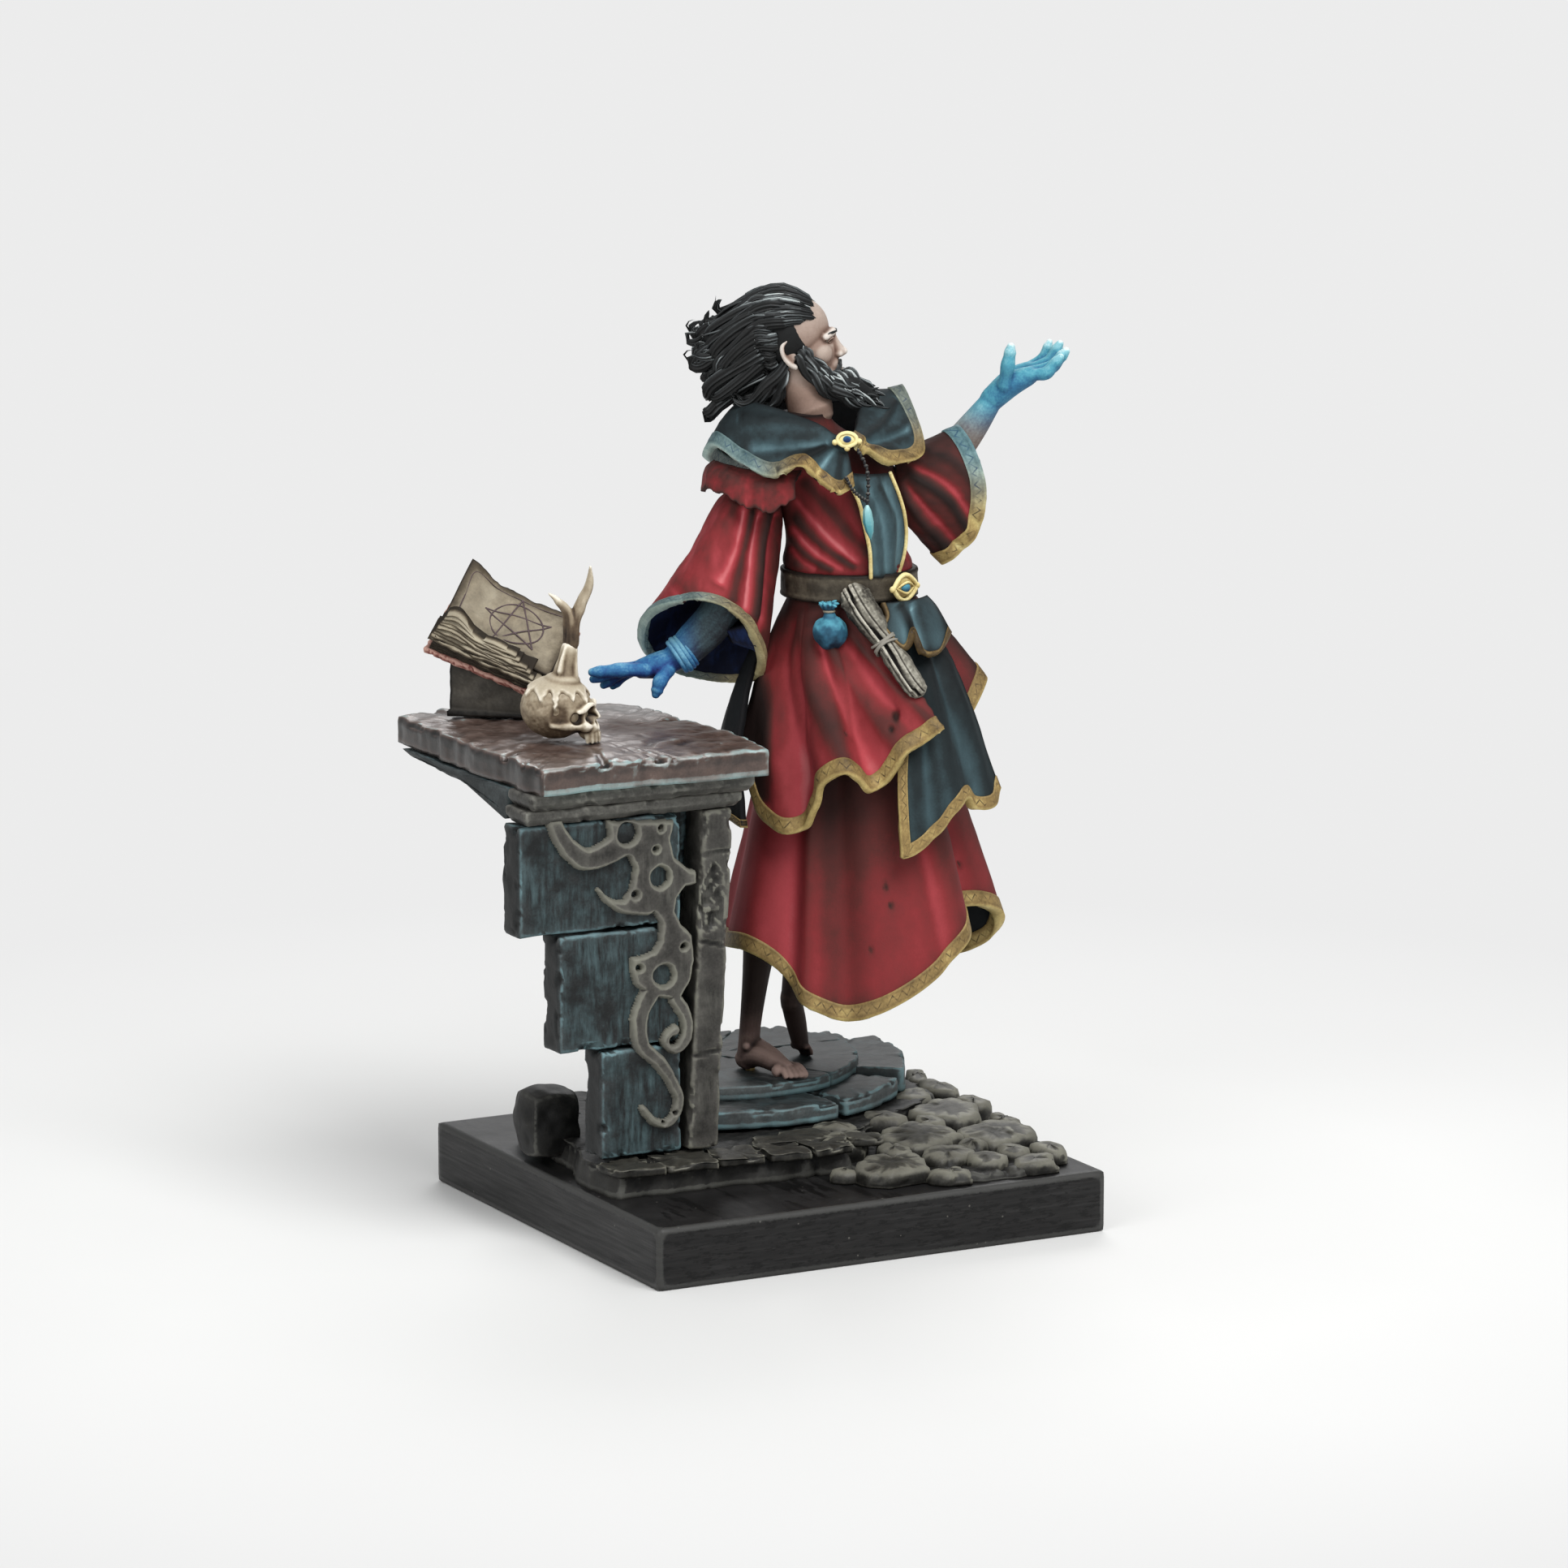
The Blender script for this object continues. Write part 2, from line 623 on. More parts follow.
BONE = layered_paint("bone", [
    (0.0, (0.018, 0.011, 0.007)), (0.3, (0.10, 0.07, 0.045)), (0.55, (0.27, 0.22, 0.155)),
    (0.8, (0.46, 0.41, 0.32)), (1.0, (0.76, 0.71, 0.62))], roughness=0.55,
    tint=(0.5, 0.44, 0.34), tint_share=0.35, Zenith=0.25, Form=0.4, Ridge=0.3, Base=0.5, Mottle=0.3)
PARCHMENT = layered_paint("parchment", [
    (0.0, (0.02, 0.015, 0.010)), (0.3, (0.10, 0.082, 0.058)), (0.55, (0.26, 0.23, 0.175)),
    (0.8, (0.42, 0.39, 0.31)), (1.0, (0.66, 0.63, 0.54))], roughness=0.7,
    tint=(0.46, 0.38, 0.26), tint_share=0.4, Zenith=0.14, Form=0.3, Ridge=0.4, Base=0.64, Mottle=0.35)
ROLL = layered_paint("rolled_parchment", [
    (0.0, (0.008, 0.007, 0.006)), (0.3, (0.05, 0.045, 0.037)), (0.6, (0.17, 0.16, 0.13)),
    (1.0, (0.48, 0.46, 0.39))], roughness=0.7, Zenith=0.2, Form=0.25, Ridge=0.35, Base=0.42, Mottle=0.4)
LEATHER = layered_paint("belt_leather", [
    (0.0, (0.010, 0.007, 0.005)), (0.35, (0.042, 0.034, 0.024)), (0.65, (0.095, 0.08, 0.057)),
    (1.0, (0.26, 0.23, 0.17))], roughness=0.6, Zenith=0.12, Form=0.2, Ridge=0.4, Base=0.5, Mottle=0.5)
COVER = layered_paint("book_leather", [
    (0.0, (0.02, 0.008, 0.006)), (0.4, (0.09, 0.03, 0.024)), (0.7, (0.22, 0.08, 0.065)),
    (1.0, (0.46, 0.27, 0.22))], Zenith=0.15, Form=0.3, Ridge=0.5, Base=0.5, Mottle=0.5)
POUCH_BLUE = layered_paint("blue_pouch", [
    (0.0, (0.004, 0.006, 0.012)), (0.35, (0.010, 0.030, 0.055)), (0.65, (0.026, 0.105, 0.17)),
    (1.0, (0.10, 0.36, 0.46))], roughness=0.65, Zenith=0.35, Form=0.3, Ridge=0.35, Base=0.46, Mottle=0.25)
LECTERN = layered_paint("lectern_wood", [
    (0.0, (0.006, 0.005, 0.004)), (0.45, (0.05, 0.045, 0.037)), (0.75, (0.11, 0.10, 0.083)),
    (1.0, (0.26, 0.245, 0.21))], Zenith=0.2, Form=0.3, Ridge=0.4, Base=0.55, Mottle=0.4)
print("paints so far:", len(bpy.data.materials))

# %% [markdown]
# Gold on this figure is not metal: it is ochre paint with pale edges and a dark zigzag line. Where the two
# hands glow, the painter tinted the trim with cyan, so the paint has a third mask, glow, that a piece may
# set.

# %% Gold paint
def gold_paint(name, marked):
    made, tree, shader, place = new_paint(name, 0.55)
    lit = grouped(tree, LIGHT, Vector=place, Zenith=0.2, Form=0.12, Ridge=0.3, Base=0.64, Mottle=0.5)
    light = lit["Light"]
    if marked:
        own_map = put(tree, "UVMap", uv_map="along").outputs[0]
        across = put(tree, "SeparateXYZ", {0: own_map}).outputs["Y"]
        border = maths(tree, "ABSOLUTE", maths(tree, "SUBTRACT", across, 0.5))
        border = maths(tree, "MULTIPLY", maths(tree, "SUBTRACT", border, 0.33), 6.0, clamp=True)
        light = maths(tree, "MULTIPLY_ADD", border, 0.4, maths(tree, "ADD", light, 0.04), clamp=True)
    colour = ramp(tree, light, [(0.0, (0.020, 0.012, 0.006)), (0.3, (0.10, 0.064, 0.025)),
                                (0.55, (0.27, 0.185, 0.07)), (0.78, (0.52, 0.40, 0.155)),
                                (1.0, (0.82, 0.72, 0.36))])
    glow = mask(tree, "glow")
    cold = ramp(tree, light, [(0.0, (0.008, 0.02, 0.025)), (0.3, (0.035, 0.085, 0.10)),
                              (0.55, (0.12, 0.22, 0.24)), (0.78, (0.30, 0.46, 0.46)),
                              (1.0, (0.62, 0.78, 0.74))])
    colour = mix(tree, glow, colour, cold)
    if marked:
        marks = grouped(tree, MARKS, Vector=own_map)["Marks"]
        worn_off = grouped(tree, STREAKS, Vector=place, Scale=1.1, Contrast=5.0)["Streaks"]
        marks = maths(tree, "MULTIPLY", marks, worn_off)
        ink = mix(tree, glow, (0.03, 0.016, 0.012, 1.0), (0.012, 0.05, 0.11, 1.0))
        colour = mix(tree, maths(tree, "MULTIPLY", marks, 0.8), colour, ink)
    colour_by(tree, shader, colour)
    return made


TRIM = gold_paint("gold_trim", True)
GOLD = gold_paint("gold_fitting", False)

# %% [markdown]
# Both hands fade from one hue to another, as if lit by magic light. The fade follows a mask named glow too.

# %% Hand paints, hair, crystal, brass
def hand_paint(name, far_stops, near_stops):
    made, tree, shader, place = new_paint(name, 0.6)
    lit = grouped(tree, LIGHT, Vector=place, Zenith=0.2, Form=0.16, Ridge=0.2, Base=0.46, Mottle=0.6)
    colour = mix(tree, mask(tree, "glow"), ramp(tree, lit["Light"], near_stops),
                 ramp(tree, lit["Light"], far_stops))
    colour_by(tree, shader, colour)
    return made


RIGHT_HAND = hand_paint("blue_hand",
                        [(0.0, (0.006, 0.006, 0.03)), (0.28, (0.016, 0.026, 0.13)),
                         (0.46, (0.020, 0.066, 0.24)), (0.66, (0.038, 0.17, 0.36)),
                         (1.0, (0.24, 0.52, 0.64))],
                        [(0.0, (0.006, 0.007, 0.010)), (0.4, (0.028, 0.034, 0.042)),
                         (0.7, (0.07, 0.12, 0.14)), (1.0, (0.14, 0.42, 0.48))])
LEFT_HAND = hand_paint("glowing_hand",
                       [(0.0, (0.015, 0.04, 0.11)), (0.3, (0.03, 0.14, 0.26)), (0.55, (0.075, 0.30, 0.39)),
                        (0.8, (0.24, 0.50, 0.56)), (1.0, (0.66, 0.78, 0.78))],
                       [(0.0, (0.04, 0.024, 0.02)), (0.35, (0.14, 0.10, 0.085)), (0.65, (0.28, 0.26, 0.235)),
                        (1.0, (0.5, 0.56, 0.54))])


def hair_paint():
    made, tree, shader, place = new_paint("dark_hair", 0.5)
    lit = grouped(tree, LIGHT, Vector=place, Zenith=0.22, Form=0.04, Ridge=0.02, Base=0.12, Mottle=0.25)
    value = maths(tree, "MULTIPLY_ADD", mask(tree, "tone"), 1.0, lit["Light"], clamp=True)
    colour = ramp(tree, value, [(0.0, (0.004, 0.004, 0.004)), (0.28, (0.011, 0.011, 0.011)),
                                (0.5, (0.034, 0.035, 0.036)), (0.72, (0.12, 0.125, 0.127)),
                                (0.9, (0.34, 0.35, 0.35)), (1.0, (0.52, 0.53, 0.52))])
    teal = mix(tree, maths(tree, "MULTIPLY", lit["Mottle"], 0.3), colour, (0.3, 0.52, 0.55, 1.0), "OVERLAY")
    colour_by(tree, shader, teal)
    return made


HAIR = hair_paint()
CRYSTAL = layered_paint("crystal", [(0.0, (0.004, 0.02, 0.025)), (0.4, (0.015, 0.09, 0.11)),
                                    (0.7, (0.06, 0.28, 0.32)), (1.0, (0.42, 0.68, 0.68))], roughness=0.25,
                        Zenith=0.35, Form=0.1, Ridge=0.25, Base=0.4)
CHAIN = layered_paint("dark_chain", [(0.0, (0.003, 0.003, 0.004)), (0.5, (0.016, 0.016, 0.018)),
                                     (0.8, (0.075, 0.075, 0.07)), (1.0, (0.34, 0.33, 0.29))], roughness=0.4,
                      Zenith=0.45, Form=0.05, Ridge=0.1, Base=0.38, Mottle=0.4)
INK = layered_paint("ink", [(0.0, (0.02, 0.012, 0.012)), (1.0, (0.1, 0.07, 0.075))])
BRASS = new_paint("pin_brass", 0.35, grain_size=9.0, Metallic=1.0)
wire_tone = grouped(BRASS[1], STREAKS, Vector=object_place(BRASS[1], (1, 1, 0.1)), Scale=6.0)["Streaks"]
colour_by(BRASS[1], BRASS[2], ramp(BRASS[1], wire_tone,
                                   [(0.0, (0.5, 0.34, 0.12)), (1.0, (0.76, 0.58, 0.27))]))
BRASS = BRASS[0]
print("figure paints done")

# %% [markdown]
# Stone is drybrushed: a dark base, brush streaks that come and go in patches, then a pale tone dragged over
# every edge. The top slab is the same stone stained brown and left wet-looking, so it is glossier.

# %% Stone paints and wood
def stone_paint(name, stops, edge, streak_tint, roughness=0.5, wear_start=0.2, edge_share=0.7, streaks=0.5,
                stretch=(1.0, 1.0, 0.16), zenith=0.16, base=0.45):
    made, tree, shader, place = new_paint(name, roughness, grain_size=2.6, grain_depth=0.05)
    lit = grouped(tree, LIGHT, Vector=place, Zenith=zenith, Form=0.4, Ridge=0.3, Base=base, Mottle=0.6)
    colour = ramp(tree, lit["Light"], stops)
    brushed = grouped(tree, STREAKS, Vector=object_place(tree, stretch), Scale=1.5, Contrast=4.0)["Streaks"]
    patches = grouped(tree, STREAKS, Vector=place, Scale=0.22, Contrast=5.0)["Streaks"]
    share = maths(tree, "MULTIPLY", maths(tree, "MULTIPLY", brushed, patches), streaks)
    in_light = maths(tree, "MULTIPLY_ADD", mask(tree, "shade"), -4.0, 1.0, clamp=True)
    lit_share = maths(tree, "MULTIPLY", share, in_light)
    colour = mix(tree, lit_share, colour, (*streak_tint, 1.0))
    worn = grouped(tree, WEAR, Vector=place, Start=wear_start)["Wear"]
    worn = maths(tree, "MULTIPLY", worn, in_light)
    worn = maths(tree, "MULTIPLY", worn, maths(tree, "MULTIPLY_ADD", patches, 0.75, 0.25))
    colour = mix(tree, maths(tree, "MULTIPLY", worn, edge_share), colour, (*edge, 1.0))
    colour_by(tree, shader, colour)
    return made


SLATE = stone_paint("dark_slate", [(0.0, (0.003, 0.0035, 0.0035)), (0.35, (0.011, 0.0125, 0.013)),
                                   (0.65, (0.030, 0.034, 0.035)), (1.0, (0.075, 0.088, 0.09))],
                    (0.15, 0.26, 0.285), (0.070, 0.112, 0.120), streaks=0.75, base=0.37)
STEP = stone_paint("step_slate",
                   [(0.0, (0.003, 0.0035, 0.0035)), (0.35, (0.013, 0.0145, 0.0145)),
                    (0.65, (0.036, 0.040, 0.040)), (1.0, (0.09, 0.10, 0.10))], (0.16, 0.28, 0.30),
                   (0.050, 0.078, 0.084), streaks=0.5, stretch=(0.3, 0.3, 1.0), zenith=0.04, base=0.44)
TAUPE = stone_paint("warm_stone", [(0.0, (0.004, 0.004, 0.0035)), (0.35, (0.020, 0.019, 0.017)),
                                   (0.65, (0.052, 0.049, 0.044)), (1.0, (0.12, 0.115, 0.10))],
                    (0.20, 0.20, 0.16), (0.10, 0.098, 0.085), streaks=0.6)
MOULDING = stone_paint("moulding_stone", [(0.0, (0.004, 0.004, 0.0035)), (0.35, (0.022, 0.021, 0.019)),
                                          (0.65, (0.062, 0.060, 0.054)), (1.0, (0.15, 0.145, 0.13))],
                       (0.22, 0.22, 0.19), (0.12, 0.12, 0.105), streaks=0.6, stretch=(0.14, 0.14, 1.2))
COBBLE = stone_paint("cobble", [(0.0, (0.003, 0.003, 0.0025)), (0.35, (0.010, 0.0095, 0.008)),
                                (0.65, (0.034, 0.0325, 0.027)), (1.0, (0.10, 0.096, 0.080))],
                     (0.21, 0.205, 0.165), (0.085, 0.080, 0.064), streaks=0.4, stretch=(0.5, 0.5, 1.0),
                     zenith=0.36, base=0.2)
EARTH = stone_paint("dark_earth", [(0.0, (0.002, 0.002, 0.002)), (0.5, (0.008, 0.0078, 0.0075)),
                                   (1.0, (0.03, 0.029, 0.026))], (0.09, 0.09, 0.08), (0.02, 0.02, 0.02),
                    roughness=0.55, wear_start=0.3)
SLAB = stone_paint("brown_slab", [(0.0, (0.005, 0.004, 0.003)), (0.35, (0.030, 0.018, 0.014)),
                                  (0.65, (0.078, 0.050, 0.040)), (1.0, (0.20, 0.15, 0.13))],
                   (0.30, 0.45, 0.45), (0.14, 0.10, 0.085), roughness=0.36, wear_start=0.2, edge_share=1.0,
                   streaks=0.35, stretch=(0.35, 1.0, 1.0), zenith=0.42, base=0.24)


def wood_paint():
    made, tree, shader, place = new_paint("black_wood", 0.42, grain_size=3.0, grain_depth=0.015)
    fine = grouped(tree, STREAKS, Vector=object_place(tree, (0.06, 0.06, 1.3)), Scale=2.2,
                   Contrast=2.2)["Streaks"]
    colour = ramp(tree, fine, [(0.0, (0.006, 0.006, 0.0062)), (0.6, (0.0125, 0.012, 0.012)),
                               (1.0, (0.024, 0.0235, 0.0235))])
    pore = grouped(tree, STREAKS, Vector=object_place(tree, (0.5, 0.07, 2.4)), Scale=1.4,
                   Contrast=9.0)["Streaks"]
    pores = maths(tree, "LESS_THAN", pore, 0.02)
    colour = mix(tree, maths(tree, "MULTIPLY", pores, 0.8), colour, (0.003, 0.003, 0.003, 1.0))
    dust = put(tree, "TexVoronoi", {"Vector": place, "Scale": 0.55}, feature="F1").outputs["Distance"]
    specks = maths(tree, "LESS_THAN", dust, 0.06)
    colour = mix(tree, maths(tree, "MULTIPLY", specks, 0.35), colour, (0.2, 0.19, 0.17, 1.0))
    worn = grouped(tree, WEAR, Vector=place, Start=0.3, Size=2.5)["Wear"]
    colour = mix(tree, maths(tree, "MULTIPLY", worn, 0.4), colour, (0.09, 0.09, 0.085, 1.0))
    colour_by(tree, shader, colour)
    sheen = ramp(tree, fine, [(0.0, (0.5, 0.5, 0.5)), (1.0, (0.34, 0.34, 0.34))])
    tree.links.new(sheen, shader.inputs["Roughness"])
    return made


for glossy in (SLAB, CRYSTAL):
    glossy.node_tree.nodes["Principled BSDF"].inputs["Specular IOR Level"].default_value = GLOSSY_SHINE
WOOD = wood_paint()
floor_paint, floor_tree, floor_shader, floor_place = new_paint("studio_paper", 0.85)
paper = put(floor_tree, "TexNoise", {"Vector": floor_place, "Scale": 0.02, "Detail": 2.0}).outputs[0]
colour_by(floor_tree, floor_shader,
          ramp(floor_tree, paper, [(0.0, (0.70, 0.70, 0.69)), (1.0, (0.74, 0.74, 0.73))]))
PAPER_WHITE = (0.84, 0.84, 0.84, 1.0)
SHADOW_REACH, FADE_SHARE = 70.0, 0.012
plain = put(floor_tree, "Emission", {"Color": PAPER_WHITE}).outputs[0]
reach = put(floor_tree, "VectorMath", {0: floor_place}, operation="LENGTH").outputs["Value"]
far_off = maths(floor_tree, "MULTIPLY", maths(floor_tree, "SUBTRACT", reach, SHADOW_REACH), FADE_SHARE,
                clamp=True)
seen = put(floor_tree, "LightPath").outputs["Is Camera Ray"]
both = put(floor_tree, "MixShader",
           {0: maths(floor_tree, "MULTIPLY", far_off, seen), 1: floor_shader.outputs[0], 2: plain}).outputs[0]
floor_tree.links.new(both, next(n for n in floor_tree.nodes if n.type == "OUTPUT_MATERIAL").inputs["Surface"])
floor.data.materials.append(floor_paint)
for name in [name for name in nodes if name.endswith("_pin")]:
    nodes[name].data.materials.clear()
    nodes[name].data.materials.append(BRASS)
print("paints:", len(bpy.data.materials))

# %% [markdown]
# ## Plinth
# The plinth is a sawn block with hardly rounded edges, stained black. A bevelled cube would do for its shape.
# Here its faces are cut finely, so that the edge mask can find the edges.

# %% Plinth
plinth_low, plinth_high = box_of("plinth")
plinth = new_object("plinth_block", *block(plinth_low, plinth_high, 0.7, 0.3))
dress(plinth, WOOD, ["plinth"], near=0.5)
print("plinth", np.round(plinth_high - plinth_low, 1), "mm")

# %% [markdown]
# ## Stones
# Paving, cobbles, steps and the slab are all flat stones with an uneven outline, a worn top edge and a rough
# face. One builder makes them: rings run up the side, over the worn edge and in to the middle of the top, and
# noise moves every point. Chips are places where the noise bites deeper into the top edge.

# %% Stone builder
def flat_stone(outline, low, high, seed, worn=0.35, ragged=0.25, uneven=0.12, chips=0.5, tilt=(0.0, 0.0),
               step=0.35, undercut=0.0, scallops=0.0):
    """Points and faces of a stone over a closed outline of (x, y) corners."""
    outline = np.array(outline, float)
    around = max(24, int(lengths(np.vstack([outline, outline[:1]]))[-1] / step))
    edge = even_outline(outline, around)
    for _ in range(2):
        edge = 0.5 * edge + 0.25 * (np.roll(edge, 1, 0) + np.roll(edge, -1, 0))
    middle = edge.mean(axis=0)
    inward = unit(middle - edge)
    flat = np.column_stack([edge, np.full(around, 7.0 * seed)])
    edge = edge + inward * (ragged * rough(flat, 2.2, seed))[:, None]
    bite = np.maximum(0, rough(flat, 1.5, seed + 50) - 0.15) * chips
    height = high - low
    rings = [(share, undercut * max(0.0, 1 - share / 0.7), 0.0)
             for share in np.linspace(0, max(0.3, 1 - 1.6 * worn / height), max(3, int(height / 0.35)))]
    rings += [(1.0, 0.04, -worn), (1.0, 0.3 * worn, -0.3 * worn), (1.0, worn, -0.06 * worn),
              (1.0, 2.2 * worn, 0.0)]
    points = []
    for share, back, drop in rings:
        level = low + height * share + drop
        into = back + (bite if drop < 0 else 0.0 if share < 1 else 0.7 * bite)
        level = level - (0.5 * bite if share == 1.0 else 0.0)
        points.append(np.column_stack([edge + inward * np.asarray(into)[..., None] * np.ones((around, 1)),
                                       np.full(around, low) if share == 0 else level * np.ones(around)]))
    rim = points[-1]
    reach = np.linalg.norm(rim[:, :2] - middle, axis=1).mean()
    inner = max(3, int(reach / step))
    for k in range(1, inner):
        share = 1 - k / inner
        points.append(np.column_stack([middle + (rim[:, :2] - middle) * share,
                                       high + (rim[:, 2] - high) * share ** 3]))
    count = len(points)
    points = np.concatenate(points + [[[*middle, low], [*middle, high]]])
    faces = grid_faces(count, around, True)
    faces += [[count * around, (k + 1) % around, k] for k in range(around)]
    last = (count - 1) * around
    faces += [[count * around + 1, last + k, last + (k + 1) % around] for k in range(around)]
    above = np.clip((points[:, 2] - low) / height, 0, 1)
    points[:, 2] += uneven * above * rough(points, 1.6, seed + 9, 3)
    push = 0.6 * uneven * rough(points, 1.1, seed + 20, 3)
    points[:, :2] += unit(points[:, :2] - middle) * (push * (above < 0.98))[:, None]
    cell = np.abs(rough(points * (1, 1, 0.8), 2.6, seed + 31, 1))
    points[:, :2] += unit(middle - points[:, :2]) * (scallops * (1 - np.sqrt(cell)) * (above < 0.97))[:, None]
    lean = (points[:, :2] - middle) @ np.array(tilt)
    points[:, 2] += lean * above
    return points, faces


def blob(x, y, wide, deep, turn, seed):
    """A blunt-cornered, uneven outline."""
    a = np.linspace(0, 2 * np.pi, 7, endpoint=False)
    chance = np.array([lattice(seed, k, 3, 11) for k in range(7)])
    a = a + 0.3 * chance
    reach = (1.05 + 0.12 * np.roll(chance, 2)) / np.maximum(np.abs(np.cos(a)), np.abs(np.sin(a))) ** 0.5
    p = np.column_stack([wide / 2 * reach * np.cos(a), deep / 2 * reach * np.sin(a)])
    c, s = math.cos(turn), math.sin(turn)
    return p @ np.array([[c, s], [-s, c]]) + (x, y)


def dark_side(made, amount, side=(-1, 0, 0), start=0.35):
    """Leave the faces on one side of a piece in the painter's shadow."""
    facing = normals_of(made) @ np.array(side)
    mask_layer(made, "shade", amount * np.clip((facing - start) / 0.3, 0, 1))
    return made


# %% [markdown]
# ## Ground
# The pavement under the altar is a dark bank with flat stones along its broken edge. To the right it runs out
# into cobbles that lie like scales, each lower than the one behind, down to the bare plinth.

# %% Pavement and cobbles
PLINTH_TOP = plinth_high[2]
PAVEMENT_TOP = float(box_of("altar_core")[0][2]) - 0.3
STEP_TOP = float(box_of("upper_step")[1][2])
bank = [(-24.0, -8.5), (-23.0, -12.8), (-14.0, -13.2), (-6.0, -13.6), (2.3, -13.6), (5.0, -9.0), (14.0, -3.0),
        (21.0, 2.0), (22.0, 14.0), (24.0, 23.4), (10.0, 24.3), (-4.0, 22.5), (-14.0, 20.0), (-20.0, 12.0),
        (-22.0, 2.0)]
bed = [(2.0, -13.0), (5.0, -17.4), (7.5, -22.0), (9.0, -23.0), (16.0, -23.7), (23.6, -20.0), (24.3, -15.0),
       (23.4, -9.0), (24.4, -4.0), (24.3, 8.0), (18.0, 10.0), (6.0, -2.0)]
soil = [flat_stone(bank, PLINTH_TOP, PAVEMENT_TOP - 0.35, 3, worn=0.35, ragged=0.35, uneven=0.16,
                   undercut=-0.35, scallops=1.0, step=0.42),
        flat_stone(bed, PLINTH_TOP, PLINTH_TOP + 0.75, 4, worn=0.5, ragged=0.5, uneven=0.3)]
bank_piece = new_object("ground_bank", *gather(soil))
dress(bank_piece, EARTH, ["ground"])
paving = [[(-23.9, -8.6), (-23.4, -13.5), (-18.4, -13.9), (-17.8, -8.4)],
          [(-18.0, -8.4), (-18.2, -13.8), (-12.6, -14.3), (-11.6, -8.2)],
          [(-11.9, -8.4), (-12.3, -14.2), (-7.6, -14.7), (-6.6, -9.4)],
          [(-7.1, -9.2), (-7.3, -14.6), (-2.6, -15.1), (-2.0, -10.2)],
          [(-2.4, -10.2), (-2.3, -15.0), (2.4, -14.6), (3.2, -10.4)],
          [(-6.4, -9.6), (-2.0, -10.4), (3.2, -9.8), (2.0, -6.0), (-5.0, -5.6)],
          [(3.0, -12.6), (6.4, -13.0), (7.2, -9.8), (3.4, -9.0)]]
stones = [flat_stone(corners, PAVEMENT_TOP - 0.75, PAVEMENT_TOP, 60 + k, worn=0.2, ragged=0.45, chips=1.1,
                     uneven=0.09, scallops=0.35) for k, corners in enumerate(paving)]
cobbles = [(4.4, -18.3, 8.0, 6.4, 7.9), (-0.2, -17.0, 3.0, 2.6, 7.4), (8.9, -22.4, 4.6, 3.2, 7.5),
           (11.4, -16.6, 5.2, 4.6, 8.0), (14.4, -19.6, 4.2, 4.0, 7.8), (18.6, -22.2, 4.8, 3.4, 7.6),
           (18.2, -18.4, 3.4, 3.0, 7.9), (22.0, -19.0, 3.6, 4.2, 7.8), (11.6, -10.6, 8.2, 7.4, 8.5),
           (19.6, -12.4, 7.4, 6.6, 8.25), (18.4, -4.0, 7.4, 7.0, 8.8), (11.2, -4.4, 4.4, 4.2, 9.0),
           (18.2, 2.6, 3.8, 4.4, 9.0), (22.5, 4.6, 3.2, 5.4, 9.0), (23.1, -1.6, 2.6, 4.6, 8.7),
           (3.3, -10.0, 5.8, 4.6, 8.9), (4.4, -6.2, 5.0, 3.2, 9.1), (7.0, -14.0, 3.4, 3.6, 8.3),
           (15.4, -15.0, 3.2, 3.0, 8.1), (23.2, -8.0, 2.4, 4.0, 8.3), (15.0, -7.0, 3.2, 3.4, 8.7),
           (23.2, 10.5, 2.4, 5.0, 8.8)]
for k, (x, y, wide, deep, high) in enumerate(cobbles):
    stones.append(flat_stone(blob(x, y, wide, deep, 0.4 * math.sin(5.0 * k), k), PLINTH_TOP + 0.05,
                             high + 0.15, 100 + k, worn=0.75, ragged=0.18, chips=0.45, uneven=0.2,
                             tilt=(0.03, 0.1)))
cobble_piece = new_object("cobble_stones", *gather(stones))
dress(dark_side(cobble_piece, 0.3, (-0.6, -0.75, -0.3), 0.3), COBBLE)
print("stones in the ground:", len(stones))

# %% [markdown]
# ## Round steps
# Two round steps carry the figure. The lower one has split into slabs, and its right-hand slab has slipped up
# a little. The upper one is four slabs with hairline joints. Both stop at the altar and at the plinth's edge.

# %% Steps
STEP_X, STEP_Y = 1.5, 16.0
LOWER_RADIUS, UPPER_RADIUS = 20.3, 15.5
LEFT_LIMIT, BACK_LIMIT = -8.2, 24.5


def arc(radius, start, end, count):
    a = np.radians(np.linspace(start, end, count))
    p = np.column_stack([STEP_X + radius * np.cos(a), STEP_Y + radius * np.sin(a)])
    return np.column_stack([np.maximum(p[:, 0], LEFT_LIMIT), np.minimum(p[:, 1], BACK_LIMIT)])


def sector(outer, inner, start, end):
    count = max(4, int(abs(end - start) / 4))
    return np.vstack([arc(outer, start, end, count), arc(inner, end, start, count)])


low = PAVEMENT_TOP
lower_top = float(box_of("front_step_stone")[1][2])


def lower_slab(edges, rise, seed, outer=LOWER_RADIUS, inner=9.0, tilt=(0.0, 0.0)):
    return flat_stone(sector(outer, inner, *edges), low, lower_top + rise, seed, worn=0.3, chips=0.7,
                      tilt=tilt)


